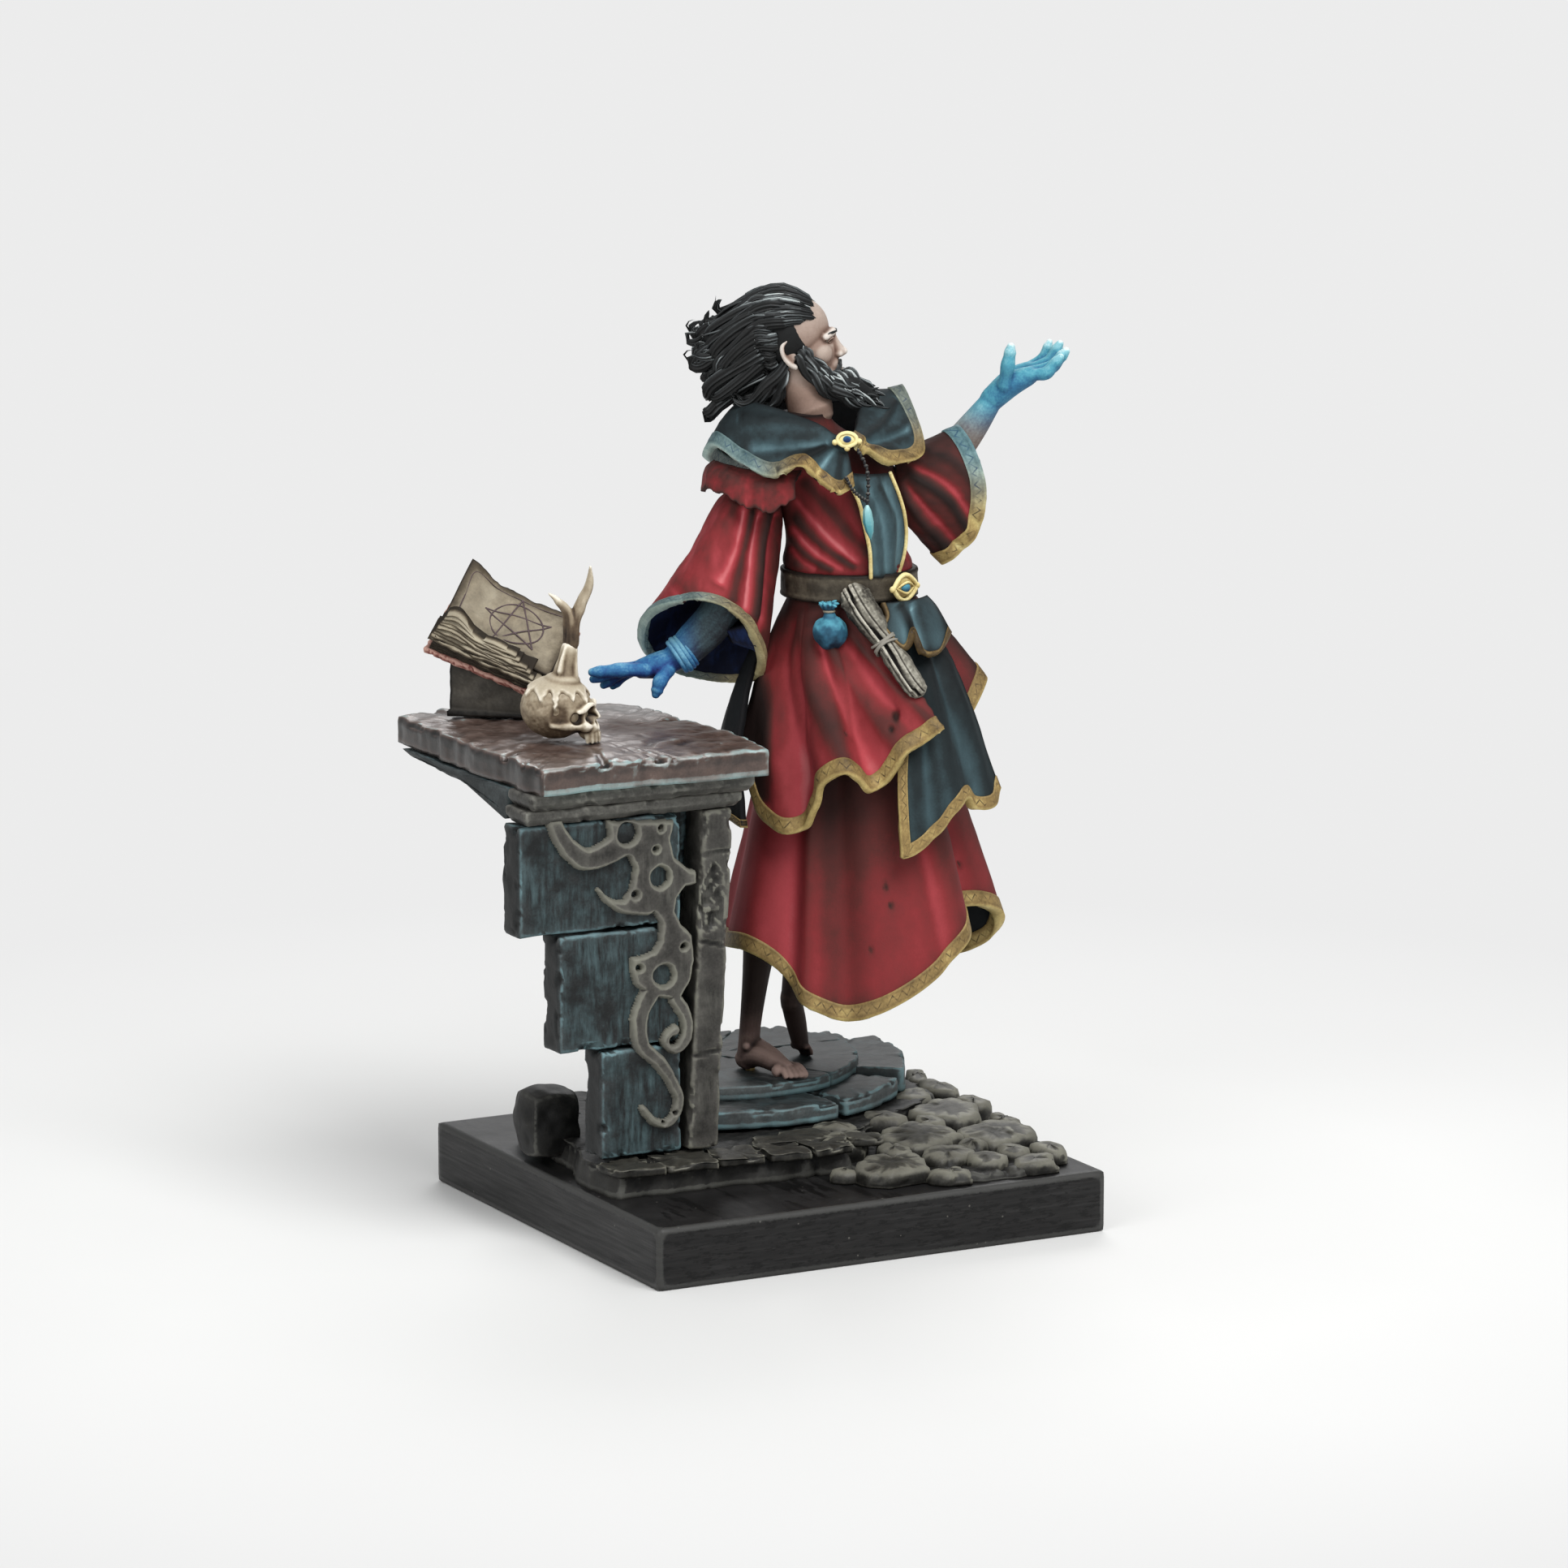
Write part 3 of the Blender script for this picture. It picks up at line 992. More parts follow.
lower_steps = {"front_step": [lower_slab((-121, -75.5), 0.0, 201)],
               "right_step": [lower_slab((-73.5, -41), 0.0, 202, tilt=(0.01, 0.0))],
               "back_step": [lower_slab((-38.5, 4), 0.75, 203, LOWER_RADIUS + 0.2, 8.0, (0.02, 0.01)),
                             lower_slab((6, 24), 0.2, 204, inner=7.0)]}
for name, parts in lower_steps.items():
    dress(new_object(name, *gather(parts)), STEP, [name + "_stone"])
upper = [flat_stone(sector(UPPER_RADIUS, 0.6, *edges), lower_top, STEP_TOP, 211 + k, worn=0.25, chips=0.5,
                    uneven=0.07, step=fine)
         for k, (edges, fine) in enumerate((((-179, -63.2), 0.3), ((-62.6, -4), 0.3), ((-3.4, 60), 0.35),
                                            ((60.6, 180), 0.35)))]
dress(new_object("round_step", *gather(upper)), STEP, ["upper_step"])
print("steps rise from", round(low, 1), "to", round(STEP_TOP, 1), "mm")

# %% [markdown]
# ## Altar wall
# Three courses step out to the left as they rise. Each is a block with a fine grid: its edges are rounded,
# then noise wears the faces and bites chips out of the edges. The leaning post and the two mouldings are
# made in the same way and then sheared or given their profile.

# %% Blocks
def worn_block(low, high, seed, step=0.4, rounding=0.3, uneven=0.1, chips=0.6, size=2.0):
    """A weathered block: rounded, dented, and chipped along its edges."""
    points, faces = block(low, high, step, rounding)
    low, high = np.array(low), np.array(high)
    depth = np.sort(np.minimum(points - low, high - points), axis=1)
    on_edge = np.clip(1 - depth[:, 1] / 0.9, 0, 1)
    middle = (low + high) / 2
    core = np.clip(points, low + 1.2, high - 1.2)
    away = unit(points - np.where(low + 1.2 < high - 1.2, core, middle))
    bite = np.maximum(0, rough(points, size * 0.7, seed + 5, 3) - 0.1) * chips * on_edge
    return points + away * (uneven * rough(points, size, seed, 3) - bite)[:, None], faces


wall = {name: box_of(name) for name in ("altar_bottom_course", "altar_middle_course", "altar_top_course")}
for seed, (name, (low, high)) in enumerate(wall.items()):
    course = worn_block(low, high, 300 + 7 * seed, step=0.3, chips=0.7, uneven=0.09)
    dress(dark_side(new_object(name + "_stone", *course), 0.28), SLATE, [name], wide=2.0)
post_low, post_high = box_of("altar_corner_post")
POST_LEAN = 1.8
post, post_faces = worn_block(post_low, (post_high[0] - POST_LEAN, *post_high[1:]), 340, step=0.28, chips=0.5)
post[:, 0] += POST_LEAN * (post[:, 2] - post_low[2]) / (post_high[2] - post_low[2])
for place, tilt in ((39.2, 0.05), (30.2, -0.25), (19.2, 0.12)):
    line = post[:, 2] - place - tilt * (post[:, 0] - post[:, 0].mean())
    post[:, 1] += 0.22 * bump(line, 0.0, 0.16) * (post[:, 1] < post_low[1] + 0.8)
hit = np.hypot((post[:, 0] + 11.3) / 1.3, (post[:, 2] - 34.6) / 3.4) + 0.35 * rough(post, 1.3, 91, 2)
broken = np.clip((1.0 - hit) / 0.25, 0, 1) * (post[:, 1] < post_low[1] + 0.8)
post[:, 1] += broken * (0.42 + 0.3 * rough(post, 0.7, 95, 2))
dress(new_object("altar_post", post, post_faces), TAUPE, ["altar_corner_post"])
print("altar wall from", round(float(wall["altar_bottom_course"][0][2]), 1), "mm up")

# %% [markdown]
# The mouldings run round the wall's head. Their profile is drawn once, hollow below and round above, and
# swept along the front and both ends by scaling the block's sides to it.

# %% Mouldings
for name, seed in (("altar_cornice_lower", 351), ("altar_cornice_upper", 357)):
    low, high = box_of(name)
    low, high = low - (0, 0, 0.15), high + (0, 0, 0.15)
    points, faces = worn_block(low, high, seed, step=0.26, rounding=0.35, chips=0.4, uneven=0.06)
    rise = np.clip((points[:, 2] - low[2]) / (high[2] - low[2]), 0, 1)
    draw_in = 0.4 * np.cos(np.clip(rise, 0, 0.55) / 0.55 * np.pi / 2) ** 2
    middle = (low[:2] + high[:2]) / 2
    half = (high[:2] - low[:2]) / 2
    share = 1 - draw_in[:, None] / half
    points[:, :2] = middle + (points[:, :2] - middle) * share
    dress(dark_side(new_object(name + "_moulding", points, faces), 0.22), MOULDING,
          [name])

# %% [markdown]
# ## Slab, corbel and core
# The top slab is one broken stone with a chipped lip. Behind the cornice a coved corbel carries its left end,
# and the rubble core fills the back. The back isn't seen in the photograph, so it is finished as plain
# broken stone.

# %% Slab and what carries it
slab_low, slab_high = box_of("altar_top_slab")
slab_outline = [(-31.2, -12.7), (-25.6, -12.2), (-19.4, -12.3), (-12.6, -12.9), (-6.3, -13.0), (-5.6, -8.0),
                (-5.4, -3.7), (-5.9, 5.1), (-6.4, 9.6), (-6.9, 13.9), (-9.0, 17.0), (-15.6, 19.6),
                (-22.7, 21.8), (-26.8, 22.2), (-31.1, 20.6), (-31.4, 4.0)]
slab, slab_faces = flat_stone(slab_outline, slab_low[2], slab_high[2], 401, worn=0.4, ragged=0.3, chips=1.0,
                              uneven=0.12, step=0.3)
on_top = slab[:, 2] > slab_high[2] - 0.5
grain = slab[:, 0] * 0.55 - slab[:, 1] + 1.5 * rough(slab, 6.0, 5)
slab[:, 2] += on_top * 0.07 * np.sin(2.1 * grain) * np.clip(rough(slab, 5.0, 8) + 0.4, 0, 1)
slab_piece = new_object("altar_slab", slab, slab_faces)
facing = normals_of(slab_piece)
mask_layer(slab_piece, "shade", 0.5 * np.clip((-facing[:, 0] - 0.15 * facing[:, 2] - 0.35) / 0.25, 0, 1)
           + 0.11 * np.clip((-facing[:, 1] - 0.7) / 0.25, 0, 1))
dress(slab_piece, SLAB, ["altar_top_slab"], wide=1.2)
print("slab top at", round(float(slab_high[2]), 1), "mm")

# %% [markdown]
# The corbel is a cove. Its section, flat in front and hollowed behind, is drawn once and repeated along the
# corbel's length, with a fan over each end. A bevelled cube could not give the hollow.

# %% Corbel
cove_low, cove_high = box_of("altar_corbel")
front, back = cove_low[1], cove_high[1]
profile = [(front, cove_high[2]), (front, cove_low[2])]
for turn in np.radians(np.arange(0, 86, 5)):
    profile.append((front + 0.6 + 0.95 * (back - front) * (1 - math.cos(turn)),
                    cove_low[2] + (cove_high[2] - cove_low[2] - 0.5) * math.sin(turn)))
profile.append((back, cove_high[2]))
outline = even_outline(np.array(profile), 160)
xs = np.linspace(cove_low[0], cove_high[0], 60)
rings = np.array([np.column_stack([np.full(len(outline), x), outline]) for x in xs])
cove, cove_faces = capped(rings)
cove[:, 0] += 0.12 * rough(cove, 1.8, 12, 3)
cove[:, 2] += 0.1 * rough(cove, 2.4, 14, 3)
dress(dark_side(new_object("altar_cove", cove, cove_faces), 0.3, (-1, 0.3, -0.5), -0.4),
      SLATE, ["altar_corbel"])
print("corbel", len(xs), "sections long")

# %% [markdown]
# The rubble core is a stack of rough courses. The two loose stones start as balls, are squared off by pushing
# their points towards a box, and are then dented.

# %% Rubble
core_low, core_high = box_of("altar_core")
right, front = core_high[0], core_low[1]
rubble_core = []
levels = np.linspace(core_low[2], core_high[2], 6)
for k, (z0, z1) in enumerate(zip(levels, levels[1:])):
    inset = 0.25 * (k % 2)
    corners = [(core_low[0] + inset, front + 0.2), (right - inset, front),
               (right - 0.1, core_high[1] - inset), (right - 4.0, core_high[1]),
               (core_low[0] + 6.0, front + 9.0 + inset)]
    rubble_core.append(flat_stone(corners, z0, z1, 420 + k, worn=0.35, ragged=0.5, chips=0.9, uneven=0.2,
                                  step=0.5, undercut=0.3))
dress(new_object("altar_rubble_core", *gather(rubble_core)), SLATE, ["altar_core"])
for name, seed in (("large_rubble_stone", 431), ("small_rubble_stone", 437)):
    low, high = box_of(name)
    points, faces = ball((low + high) / 2, (high - low) / 2, 5)
    share = (points - (low + high) / 2) / ((high - low) / 2)
    corner = np.max(np.abs(share), axis=1, keepdims=True)
    points = (low + high) / 2 + share / np.maximum(corner, 0.3) ** 0.55 * (high - low) / 2
    points += unit(share) * (0.28 * rough(points, 2.6, seed, 3))[:, None]
    points[:, 2] = np.maximum(points[:, 2], PLINTH_TOP + 0.02)
    boulder = new_object(name.replace("_stone", "_boulder"), points, faces)
    apply(boulder, "SMOOTH", factor=0.5, iterations=2)
    dress(boulder, EARTH if "large" in name else SLATE, [name])
print("rubble courses:", len(rubble_core))

# %% [markdown]
# ## Carved scrollwork
# A flat tendril is carved up the wall's front with hooked scrolls and drilled holes. It is a relief, so it
# is made as a height field: for each spot of a fine grid the depth inside the drawn shape is found, spots
# outside are dropped, and the rest rise with a rounded shoulder.

# %% Scrollwork drawing
WALL_FACE = float(wall["altar_top_course"][0][1])
RELIEF, GRID = 0.95, 0.12
mass = [(-22.6, 43.4), (-15.4, 42.9), (-15.8, 40.9), (-15.3, 39.1), (-13.9, 37.9), (-13.0, 37.6),
        (-13.0, 36.4), (-14.2, 36.2), (-15.1, 35.1), (-15.3, 33.9), (-14.7, 32.5), (-13.4, 31.2),
        (-13.3, 28.7), (-13.5, 26.9), (-14.4, 25.6), (-14.8, 24.8), (-18.1, 25.5), (-18.8, 26.2),
        (-19.7, 26.9), (-20.1, 28.4), (-20.0, 29.5), (-18.8, 29.7), (-17.7, 29.9), (-17.0, 31.0),
        (-16.8, 32.6), (-17.4, 33.7), (-18.3, 34.3), (-20.2, 34.8), (-21.2, 35.2), (-20.1, 36.4),
        (-19.7, 38.5), (-20.2, 39.7), (-21.6, 40.1), (-22.7, 41.0), (-22.4, 42.2)]
strokes = [([(-28.3, 43.6), (-27.5, 42.1), (-26.5, 40.9), (-25.0, 39.9), (-23.1, 40.2), (-21.2, 41.0)], 0.75,
            1.3), ([(-18.3, 34.6), (-20.6, 34.7), (-22.5, 35.5), (-23.6, 36.7)], 0.9, 0.15),
           ([(-17.9, 25.9), (-19.2, 23.7), (-18.9, 20.7), (-17.1, 18.8), (-15.4, 16.2), (-14.9, 14.4),
             (-15.9, 12.6), (-17.6, 12.8), (-18.9, 14.3)], 0.95, 0.3),
           ([(-15.2, 24.9), (-14.1, 23.1), (-14.1, 21.1), (-15.2, 20.0), (-16.3, 20.9), (-15.3, 21.8)], 0.7,
            0.5)]
holes = [(-20.5, 42.1, 1.1), (-16.9, 42.3, 0.26), (-17.4, 40.2, 0.29), (-17.0, 37.4, 1.05),
         (-19.7, 35.9, 0.38), (-16.6, 27.5, 1.1), (-19.3, 28.5, 0.32), (-14.4, 30.2, 0.32),
         (-15.5, 20.8, 0.45), (-16.7, 12.7, 0.2), (-15.4, 13.5, 0.2)]


def line_gap(spots, path, closed=False):
    """Distance from each spot to a chain of straight pieces, and how far along it the nearest point is."""
    path = np.array(path + path[:1] if closed else path)
    run, gap, at = lengths(path), np.full(len(spots), 99.0), np.zeros(len(spots))
    for k, (p, q) in enumerate(zip(path, path[1:])):
        t = np.clip((spots - p) @ (q - p) / ((q - p) @ (q - p)), 0, 1)
        near = np.linalg.norm(spots - p - t[:, None] * (q - p), axis=1)
        closer = near < gap
        gap, at = np.where(closer, near, gap), np.where(closer, run[k] + t * (run[k + 1] - run[k]), at)
    return gap, at / run[-1]


def within(spots, corners):
    """Which spots lie inside a closed outline: a ray from each crosses it an odd number of times."""
    odd = np.zeros(len(spots), bool)
    for (x0, z0), (x1, z1) in zip(corners, corners[1:] + corners[:1]):
        if z0 != z1:
            crosses = ((spots[:, 1] < z0) != (spots[:, 1] < z1))
            odd ^= crosses & (spots[:, 0] < x0 + (spots[:, 1] - z0) * (x1 - x0) / (z1 - z0))
    return odd


# %% Scrollwork relief
xs, zs = np.arange(-29.6, -12.2, GRID), np.arange(44.0, 11.2, -GRID)
spots = np.stack(np.meshgrid(xs, zs), -1).reshape(-1, 2)
deep = np.where(within(spots, mass), 1, -1) * line_gap(spots, mass, True)[0]
for path, thick, thin in strokes:
    curve = [tuple(p[:2]) for p in spline([(x, z, 0) for x, z in path], 9 * len(path))]
    gap, at = line_gap(spots, curve)
    deep = np.maximum(deep, thick + (thin - thick) * at - gap)
for x, z, size in holes:
    deep = np.minimum(deep, np.hypot(spots[:, 0] - x, spots[:, 1] - z) - size)
deep += 0.07 * rough(np.column_stack([spots, spots[:, 0] * 0]), 0.9, 77)
inside = (deep > -0.12).reshape(len(zs), len(xs))
raised = np.clip((deep + 0.12) / 0.3, 0, 1)
face = np.column_stack([spots[:, 0], WALL_FACE - RELIEF * raised ** 0.6 + 0.12, spots[:, 1]])
face[:, 1] += 0.05 * rough(face, 0.9, 78, 3) * raised
whole = (inside[:-1, :-1] & inside[1:, :-1] & inside[:-1, 1:] & inside[1:, 1:]).ravel()
front_faces = [q for q, keep in zip(grid_faces(len(zs), len(xs)), whole) if keep]
used = np.unique(np.array(front_faces))
renumber = np.full(len(face), -1)
renumber[used] = np.arange(len(used))
count = len(used)
front_faces = [[int(renumber[k]) for k in reversed(q)] for q in front_faces]
lace_points = np.vstack([face[used], face[used] * (1, 0, 1) + (0, WALL_FACE + 0.25, 0)])
lace_faces = front_faces + [[k + count for k in reversed(q)] for q in front_faces]
edges = {}
for q in front_faces:
    for k in range(4):
        edges[(q[k], q[(k + 1) % 4])] = True
lace_faces += [[b, a, a + count, b + count] for a, b in edges if (b, a) not in edges]
lace = new_object("altar_carving", lace_points, lace_faces)
dress(lace, TAUPE, ["altar_scrollwork"], near=0.3)
print("carving", len(lace.data.polygons), "faces")

# %% [markdown]
# ## Cloth
# The robes are sheets hung from an oval waist. A sheet starts as a grid between the waist and a drawn hem,
# with its columns swept sideways by the wind. Folds are strokes drawn in the front view: each one lifts or
# sinks the cloth along a line. A hem's gold border is cut from the last bit of the same grid and set a
# little proud.

# %% Cloth helpers
FIGURE_PLACE, FIGURE_TURN = (10.0, 4.0, 12.4), math.radians(-28)
FIGURE = Matrix.Translation(FIGURE_PLACE) @ Matrix.Rotation(FIGURE_TURN, 4, "Z")
CHEST = np.array((0.0, 0.0, 50.0))
WAIST_X, WAIST_WIDE, WAIST_DEEP = 1.4, 5.5, 4.9


def waist(bearing, out=0.0):
    return np.stack([WAIST_X + (WAIST_WIDE + out) * np.cos(bearing), (WAIST_DEEP + out) * np.sin(bearing)],
                    -1)


def skirt(hem, top, rows, columns, flare, closed, twist=(0.0, 0.0), out=0.0):
    """A grid from the waist down to a hem of (x, y, z) points; twist turns the waist end, in degrees."""
    edge = spline(hem, columns, closed)
    bearing = np.arctan2(edge[:, 1], edge[:, 0] - WAIST_X)
    sweep = np.radians(spline(np.array(twist, float)[:, None], columns)[:, 0])
    start = waist(bearing + sweep, out)
    share = np.linspace(0, 1, rows)[:, None]
    flat = start[None] + (edge[None, :, :2] - start[None]) * share[..., None] ** flare
    level = top + (edge[:, 2] - top)[None] * share
    return np.concatenate([flat, level[..., None]], axis=2)


def stroke_field(points, path, width, sharp=1.0):
    """How close points are, in the front view, to a drawn line; it fades at both ends."""
    line = spline(np.array(path, float), 24)
    spot = points[..., [0, 2]]
    best, where = np.full(spot.shape[:-1], 1e9), np.zeros(spot.shape[:-1])
    for k in range(len(line) - 1):
        a, along = line[k], line[k + 1] - line[k]
        t = np.clip(((spot - a) @ along) / (along @ along), 0, 1)
        gap = np.linalg.norm(spot - a - t[..., None] * along, axis=-1)
        near = gap < best
        best, where = np.where(near, gap, best), np.where(near, (k + t) / (len(line) - 1), where)
    wide = np.interp(where, [0, 1], width) if np.ndim(width) else width
    fade = np.clip(where / 0.12, 0, 1) * np.clip((1 - where) / 0.1, 0, 1)
    return np.exp(-(best / wide) ** (2 * sharp)) * fade


EVENING_ROUNDS = 100


def steady_normals(grid, wrap=False):
    """Normals evened out along each row, so that neighbours move the same way."""
    normal = grid_normals(grid, wrap)
    for _ in range(EVENING_ROUNDS):
        ends = (normal[:, -1:], normal[:, :1]) if wrap else (normal[:, :1], normal[:, -1:])
        wide = np.concatenate([ends[0], normal, ends[1]], axis=1)
        normal = 0.5 * normal + 0.25 * (wide[:, :-2] + wide[:, 2:])
    return unit(normal)


def folded(grid, strokes, wrap=False, open_end=False):
    """Move a grid along its normals by drawn folds: (path in x and z, width, height)."""
    normal = steady_normals(grid, wrap)
    front = np.clip(0.35 - 1.6 * normal[..., 1], 0, 1)
    lift = np.zeros(grid.shape[:2])
    for path, width, height in strokes:
        if open_end:
            path = list(path) + [2 * np.array(path[-1]) - np.array(path[-2])]
        lift += height * stroke_field(grid, path, width)
    return grid + normal * (lift * front)[..., None]


def rumpled(grid, size, height, seed, wrap=False, stretch=(1, 1, 0.35)):
    """Small creases that run mostly downwards."""
    return grid + steady_normals(grid, wrap) * (height * rough(grid * stretch, size, seed, 3))[..., None]


# %% Borders and cloth pieces
def hem_band(grid, width, beyond=0.12, rows=7):
    """The last bit of a grid, measured back from its last row, running a little past it."""
    back = grid[::-1]
    run = np.concatenate([np.zeros((1, grid.shape[1])),
                          np.cumsum(np.linalg.norm(np.diff(back, axis=0), axis=2), axis=0)])
    band = np.empty((rows, grid.shape[1], 3))
    for column in range(grid.shape[1]):
        at = np.linspace(width, 0.0, rows)
        for k in range(3):
            band[:, column, k] = np.interp(at, run[:, column], back[:, column, k])
    band[-1] += beyond * unit(back[0] - back[1])
    return band


def side_grid(grid):
    """The same grid read across, so that one side edge becomes its last row."""
    return np.swapaxes(grid, 0, 1)[::-1]


def trim_piece(name, bands, stands_for, front=0.14, back=-0.75, wrap=False, glow=None, paint=None):
    """A gold border made of one or more bands; its map runs along and across the band, in millimetres."""
    parts, maps = [], []
    for band in bands:
        parts.append(sheet(band, front, back, wrap))
        along = lengths(band[len(band) // 2])
        across = np.linspace(0, 1, len(band))
        grid_map = np.stack(np.broadcast_arrays(along[None, :], across[:, None]), -1).reshape(-1, 2)
        maps.append(np.vstack([grid_map, grid_map]))
    points, faces = gather(parts)
    made = new_object(name, turned(points, FIGURE), faces)
    layer = made.data.uv_layers.new(name="along")
    corner = np.empty(len(made.data.loops), np.int32)
    made.data.loops.foreach_get("vertex_index", corner)
    layer.data.foreach_set("uv", np.concatenate(maps)[corner].astype(np.float32).ravel())
    mask_layer(made, "glow", np.zeros(len(points)) if glow is None else glow(points))
    return dress(made, paint or TRIM, stands_for, near=0.25)


def cloth_piece(name, grid, thick, paint, stands_for, inside=None, wrap=False, shade=None, wide=2.2,
                inner_shade=0.0):
    """A sheet of cloth with its own paint on the inside."""
    points, faces = sheet(grid, 0.0, -thick, wrap)
    made = new_object(name, turned(points, FIGURE), faces)
    made.data.materials.append(paint)
    half = len(points) // 2
    if inside:
        made.data.materials.append(inside)
        rows, columns = grid.shape[:2]
        quads = (rows - 1) * (columns if wrap else columns - 1)
        index = np.zeros(len(faces), np.int32)
        index[quads:2 * quads] = 1
        made.data.polygons.foreach_set("material_index", index)
    values = np.zeros(half) if shade is None else np.broadcast_to(shade, grid.shape[:2]).ravel()
    mask_layer(made, "shade", np.concatenate([values, np.full(half, inner_shade)]))
    return dress(made, paint, stands_for, wide=wide)


def smooth_step(values, start, end):
    t = np.clip((values - start) / (end - start), 0, 1)
    return t * t * (3 - 2 * t)


def moth_eaten(grid, shade, holes, depth, reach, wrap=False):
    """Press small dark holes (x, z, half width, half height) into the cloth in front of y = reach."""
    for x, z, wide, tall in holes:
        hole = np.exp(-(((grid[..., 0] - x) / wide) ** 2 + ((grid[..., 2] - z) / tall) ** 2))
        hole = hole * (grid[..., 1] < reach)
        grid = grid - grid_normals(grid, wrap) * depth * hole[..., None]
        shade = shade + 0.8 * hole
    return grid, shade


print("cloth helpers ready; waist", 2 * WAIST_WIDE, "mm wide")

# %% [markdown]
# ## Lower robe
# The lower robe is the widest bell. It is darkest where the upper skirt shades it.

# %% Lower robe
lower_hem = [(-10.8, -3.6, 13.5), (-8.9, -7.6, 14.0), (-6.4, -9.2, 12.8), (-4.6, -10.2, 11.0),
             (-3.4, -11.0, 9.4), (-1.6, -11.6, 8.4), (1.0, -12.2, 7.7), (4.0, -12.2, 8.3), (7.0, -11.5, 9.7),
             (10.0, -9.9, 11.5), (12.4, -7.8, 13.6), (13.5, -5.2, 15.6), (12.9, -3.4, 17.0),
             (12.6, -1.8, 17.2), (15.2, -0.2, 17.0), (17.2, 2.6, 15.6), (16.6, 5.0, 13.2), (13.6, 6.2, 11.2),
             (11.6, 8.6, 10.6), (8.2, 9.4, 10.2), (5.6, 11.8, 9.6), (2.0, 11.2, 9.6), (-1.6, 12.6, 9.8),
             (-4.8, 10.6, 10.6), (-8.2, 10.0, 11.4), (-9.6, 6.2, 12.2), (-12.0, 2.8, 13.0),
             (-11.0, -0.6, 13.2)]
SKIRT_TOP = 49.7
robe = skirt(lower_hem, SKIRT_TOP, 84, 280, 1.12, True)
robe = folded(robe, [([(-5.0, 40), (-7.6, 26), (-9.4, 14)], (1.2, 2.2), 0.45),
                     ([(-3.0, 40), (-4.2, 26), (-4.9, 11)], (0.9, 1.5), -0.6),
                     ([(-1.8, 38), (-2.6, 24), (-3.0, 10)], (0.6, 1.0), 0.5),
                     ([(-0.2, 40), (0.4, 25), (0.9, 8)], (1.1, 2.1), -0.8),
                     ([(2.6, 40), (4.6, 25), (6.4, 9.5)], (1.6, 3.2), 0.5),
                     ([(4.6, 40), (8.8, 25), (11.4, 14)], (0.8, 1.1), -0.45),
                     ([(6.0, 40), (10.6, 25), (12.9, 16)], (0.8, 1.0), 0.3)], wrap=True, open_end=True)
robe = robe - grid_normals(robe, True) * (1.5 * smooth_step(robe[..., 2], 32, 40))[..., None]
robe = rumpled(robe, 2.4, 0.05, 31, True, (1, 1, 0.6))
front_side = robe[..., 1] < 3
left_part = smooth_step(robe[..., 0], -2.0, -4.6) * front_side
shade = 0.22 * smooth_step(robe[..., 2], 18, 32) * (1 - 0.9 * left_part)
shade = shade + 0.2 * bump(robe[..., 0] - 0.05 * (20 - robe[..., 2]), 0.4, 2.2) * front_side
shade = shade - 0.14 * smooth_step(robe[..., 0], -2.2, -4.6) * front_side
shade = shade - 0.06 * smooth_step(robe[..., 2], 17, 9)
robe, shade = moth_eaten(robe, shade, ((5.0, 21.0, 0.14, 0.3), (5.6, 19.0, 0.2, 0.22), (3.6, 14.6, 0.2, 0.2),
                                       (12.6, 21.4, 0.16, 0.2)), 0.35, 3, True)
cloth_piece("lower_robe_cloth", robe, 1.0, RED, ["lower_robe"], LINING, True, shade, 2.6)
HEM_WIDTH = 1.55
trim_piece("lower_robe_border", [hem_band(np.roll(robe, 76, axis=1), HEM_WIDTH)],
           ["lower_robe"], back=-1.08, wrap=True)
print("lower robe hem", round(float(lengths(robe[-1])[-1]), 1), "mm round")

# %% [markdown]
# ## Over-robe
# The wind drives the over-robe to the right, so its flutes run down on a slant and its front edge lies open
# over the apron. The hem turns up into an arch where a flute rolls over.

# %% Over-robe
over_hem = [(13.2, -4.4, 36.6), (15.2, -2.0, 40.6), (14.0, 0.4, 40.4), (14.6, 3.8, 38.0), (12.0, 6.4, 35.0),
            (10.6, 10.6, 31.6), (7.0, 10.4, 29.4), (3.2, 12.6, 27.8), (-0.6, 10.4, 27.6), (-4.8, 11.4, 27.6),
            (-7.0, 8.4, 28.6), (-10.0, 6.4, 30.0), (-9.8, 2.6, 32.4), (-10.0, -1.8, 33.6), (-8.8, -4.4, 30.6),
            (-7.8, -7.0, 28.0), (-6.4, -8.8, 26.9), (-4.9, -9.6, 26.3), (-3.3, -10.0, 26.9),
            (-2.8, -11.2, 29.0), (-1.8, -12.4, 31.6), (0.7, -13.0, 33.0), (2.4, -12.6, 32.2),
            (3.4, -12.3, 31.2), (4.5, -12.3, 31.8), (5.7, -12.5, 33.2), (7.2, -12.8, 35.2),
            (8.2, -12.9, 36.0), (9.4, -12.4, 36.6), (10.7, -12.0, 37.4)]
over_twist = np.interp(np.arange(30), [0, 4, 9, 14, 17, 21, 25, 29], [-4, -8, -14, -20, -24, -32, -38, -46])
over = skirt(over_hem, SKIRT_TOP, 84, 310, 0.82, False, over_twist, out=0.2)
